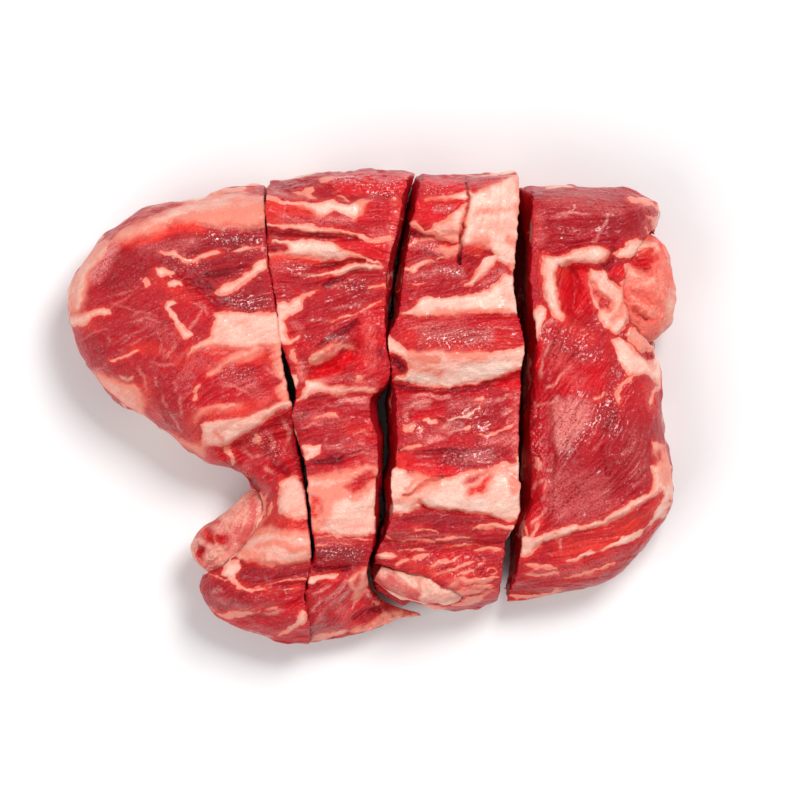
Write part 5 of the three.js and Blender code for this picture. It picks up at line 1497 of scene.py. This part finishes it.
# Ridges and creases
for height, half, line in (
    (-0.9, 1.2, [71, 39.2, 72.6, 36.6, 74.6, 34.4, 76.2, 33]),
    (-0.9, 1.2, [76, 30.4, 74.6, 31.6]),
    (-0.9, 1.2, [77.6, 26.4, 80, 28.6, 80.6, 32]),
    (-0.9, 1.2, [80, 23.4, 82, 26.4, 84.6, 27.6]),
    (-0.9, 1.2, [76.6, 39.8, 79.4, 37.8, 83, 38.6]),
    (-1.2, 1.8, [55, 48.6, 60, 49.4, 66, 51.4, 72, 52, 79, 52.4]),
    (-1.8, 2.6, [77.4, 49, 76.6, 46.6, 75, 44.4]),
    (-0.8, 2.4, [52.4, 8, 52, 14, 52.6, 19]),
    (-1.6, 2.6, [63, 44, 66, 38, 64, 31]),
    (-0.8, 1.3, [75.5, -8, 77, -5, 77.6, 2]),
    (-0.8, 1.3, [74.5, -14, 76, -22]),
    (-0.9, 1.4, [52, -46, 60, -42.4, 72, -39.8, 82, -34.6, 92, -29.4]),
    (-1.2, 2, [88, 16.4, 91, 11.4]),
    (-1, 1.4, [57, -2, 55, -4, 52, -5.6, 49.6, -7.4]),
    (-0.8, 1.4, [58.6, -16, 57.6, -24, 57.4, -34]),
    (0.8, 1.8, [53, 12, 55, 18, 59, 23]),
    (0.8, 1.8, [57, 8, 61, 14, 66, 18]),
    (0.8, 1.8, [61, 4, 65, 9, 71, 13]),
):
    four.raise_up(height, half, line)
four.finish(meat)

# The bone end that comes out of the notch of the first slice. It is rounded, with hollows of red marrow
# between pale swellings. Like the other bones it runs a short way into the meat.
BONE = "f2bba6"
MARROW = "cc5a54"
bone = flesh_material("bone", BONE, MARROW, True)

stub = Flesh(
    "bone_1",
    voxel=0.45,
    walls={},
    fibres=[(-43, -34, 62), (-43, -42, 75), (-52, -46, 20)],
    first_fat=9,
)
stub.marks["blush"] += 0.18
stub.marks["soft"] += 0.4
stub.area("blush", 0.3, 1.5, [-46, -38, -38, -38, -42, -49, -47, -49])
for amount, line in (
    (0.5, [-38, -30, -37.6, -36, -40.6, -43]),
    (0.6, [-57, -42, -55, -39, -50, -36.6]),
    (0.4, [-54, -50, -50, -52]),
    (-0.3, [-46, -52, -44, -51]),
):
    stub.tint("blush", amount, 3, line)
stub.tint("rough", 1, 5, [-52, -44, -51, -49])
for hollow in (
    [-53.4, -40, -51.6, -40.2, -50.6, -42, -51, -44, -52.4, -43.6, -53.2, -42],
    [-50.4, -42.6, -49, -43.9, -47.6, -44.3, -46.2, -43.5, -45.8, -42.2, -47.4, -41.5, -49, -41.6],
    [-54.6, -45.4, -53.2, -45.6, -53.6, -47.4, -54.6, -49, -56, -48.6, -55.6, -47],
):
    stub.lean(0.3, hollow)
    stub.area("tone", 0.4, 1, hollow)
    stub.area("rough", 0.5, 1, hollow)
for line in ([-52.2, -40.6, -51.8, -43], [-49.4, -42.8, -47, -43], [-54.2, -46, -55, -48]):
    stub.raise_up(-1.6, 1.6, line)
for x, y in ((-52, -45.4), (-49.6, -46), (-47.4, -45.4), (-50.8, -48.4), (-55.8, -43.8)):
    stub.raise_up(0.9, 1.5, [x, y, x + 0.6, y])
stub.tint("tone", 0.5, 1.2, [-50, -45, -49.8, -45.2])
stub.cut(0.2, 0.6, [-57.4, -47.6, -56.4, -50, -55.4, -52])
for line in ([-49.6, -36.6, -47.4, -38.4, -46.6, -41, -46, -44.6], [-41, -31, -41.4, -36, -42.6, -41]):
    stub.raise_up(-0.5, 1, line)
stub.finish(bone, "notch_bone")

# The bone bared at the near corner of the third slice, cut through, with a cream skin of cartilage. Lean
# and red marrow lie along its near side.
corner = Flesh(
    "bone_3",
    voxel=0.45,
    walls={},
    fibres=[(5, -54, -34), (14, -59, -38), (22, -58, -20)],
    first_fat=9,
)
corner.marks["blush"] -= 0.1
corner.marks["soft"] += 0.4
corner.area("blush", 0.42, 1, [-1, -49, 5, -51.6, 9, -54, 13, -56.6, 15.6, -59.6, 15.6, -62, 11, -60.6,
                               5, -57.4, -1, -55])
for amount, half, line in (
    (0.5, 2, [6, -55.6, 10, -58, 15, -61]),
    (-0.5, 1.2, [8.5, -53, 10.5, -54.4, 12, -56, 14, -57.6]),
    (0.35, 2.4, [15.4, -56, 16.6, -58.8]),
    (0.3, 2, [20, -60.6, 25, -61.4]),
):
    corner.tint("blush", amount, half, line)
corner.area("rough", 0.4, 2, [15, -53, 20, -52.6, 24, -56, 30, -59, 23, -63.3, 17, -62.2])
corner.lean(0.5, [-1, -55.4, 0.5, -55.4, 3, -56.6, 5.5, -58.2, 8, -59.8, 10, -61, 13, -61, 15.4, -62.4,
                  16.4, -63.2, 16, -66, 10, -66, -1, -60])
# Painted shade: the lean under the bone's near edge is painted darker.
corner.tint("tone", -0.8, 2, [0, -57.4, 4, -59.4, 9, -62.4])
corner.tint("warm", 0.8, 1.6, [10, -61.6, 12.6, -62, 15, -63.4])
corner.tint("rough", 1, 2, [10, -61.6, 14, -63])
corner.lean(0.6, [16, -63.4, 20, -63.8, 24, -64, 28, -62.8, 31, -61, 31, -67, 16, -67])
corner.raise_up(-0.8, 1.3, [13.4, -56, 15, -58, 15.6, -60.6])
corner.raise_up(0.5, 1.6, [9, -53.4, 13, -56.8])
corner.finish(bone, "corner_bone")

# The joint head at the right of the fourth slice, under a cap of salmon gristle with a cream edge. Two red
# patches of lean lie in it, and creases run between its swellings.
GRISTLE = "f6c6ae"
GRISTLE_RED = "e8695a"
gristle = flesh_material("gristle", GRISTLE, GRISTLE_RED, True)

head = Flesh(
    "bone_4",
    voxel=0.5,
    walls={},
    fibres=[(84, 50, 10), (91, 54, -50), (86, 36, -35), (96, 40, 90), (88, 23, 55), (95, 27, 50),
        (52, 40, 90)],
    first_fat=9,
)
head.marks["blush"] += 0.66
head.marks["soft"] += 0.3
head.marks["rough"] += 0.35
head.area("blush", -0.45, 1, [82, 51, 83, 52.3, 84.6, 53, 86.4, 52.7, 89, 53, 91, 52.4, 92.6, 50.4,
                              92.8, 48.6, 91, 48.2, 89.8, 50.2, 88.5, 50.4, 87.6, 49.4, 86, 48.2, 84, 47,
                              82, 47])
head.area("blush", -0.12, 1, [90.5, 60, 92, 58, 94, 55, 95.2, 51, 96, 47, 97, 43.5, 99, 40, 100, 30,
                              97, 25, 95, 22, 92.5, 19, 92.6, 26, 94, 31, 95, 36, 95.4, 42, 94.6, 47,
                              93.4, 49.5, 92.4, 52.5])
head.lean(0.5, [82.6, 46.2, 85.5, 47.4, 87.5, 48.4, 89.4, 50, 90, 48.2, 92, 47.6, 91.6, 46, 89.6, 45,
                90, 43, 88, 42.4, 86, 43, 83.6, 44.6])
head.tint("tone", 0.9, 3, [85, 45.4, 88, 45.6])
head.tint("warm", 0.5, 2, [89, 48.6, 91, 47])
upper_patch = [87, 55, 89, 54.2, 91, 53.8, 92, 55, 90, 58.4, 87, 58.4]
head.lean(0.8, upper_patch)
head.area("tone", 0.4, 1, upper_patch)
head.area("blush", -0.35, 1, [81.6, 44.6, 83.6, 44, 85, 42.6, 88, 42, 89, 40.4, 84, 40, 82, 40.6])
for amount, half, line in (
    (-0.3, 2, [82, 40, 86, 38.6, 90, 39.4]),
    (0.3, 2.4, [84, 30, 86, 28.4, 88, 27.6, 91, 27.2]),
    (0.3, 2.6, [86, 24.6, 89, 23]),
    (0.2, 3, [86, 35, 92, 33]),
    (-0.2, 2.4, [96, 33, 96.4, 27]),
):
    head.tint("blush", amount, half, line)
for line in (
    [91, 56, 92.4, 52.5, 93, 49.5, 94.6, 47, 95.6, 43, 95.4, 38],
    [83.6, 30.6, 86, 28.6, 88, 27.8, 91.4, 27.2],
    [83, 46.6, 86, 48, 88.4, 50],
    [82, 40.2, 85, 39.6, 88.6, 40.8, 90, 43],
    [84, 36, 87, 34.6, 89, 32.2],
):
    head.raise_up(-0.8, 1.3, line)
for line in ([85, 50, 90, 51.4], [83, 43.4, 86, 41.8], [85, 37.4, 90, 36.6, 92.6, 34], [86, 31, 90, 30]):
    head.raise_up(0.7, 2.2, line)
head.raise_up(-1.2, 2.2, [85.4, 45.4, 88.6, 46])
head.cut(0.15, 0.4, [84, 30.4, 86, 28.4, 88, 27.6])
head.finish(gristle, "joint_head")
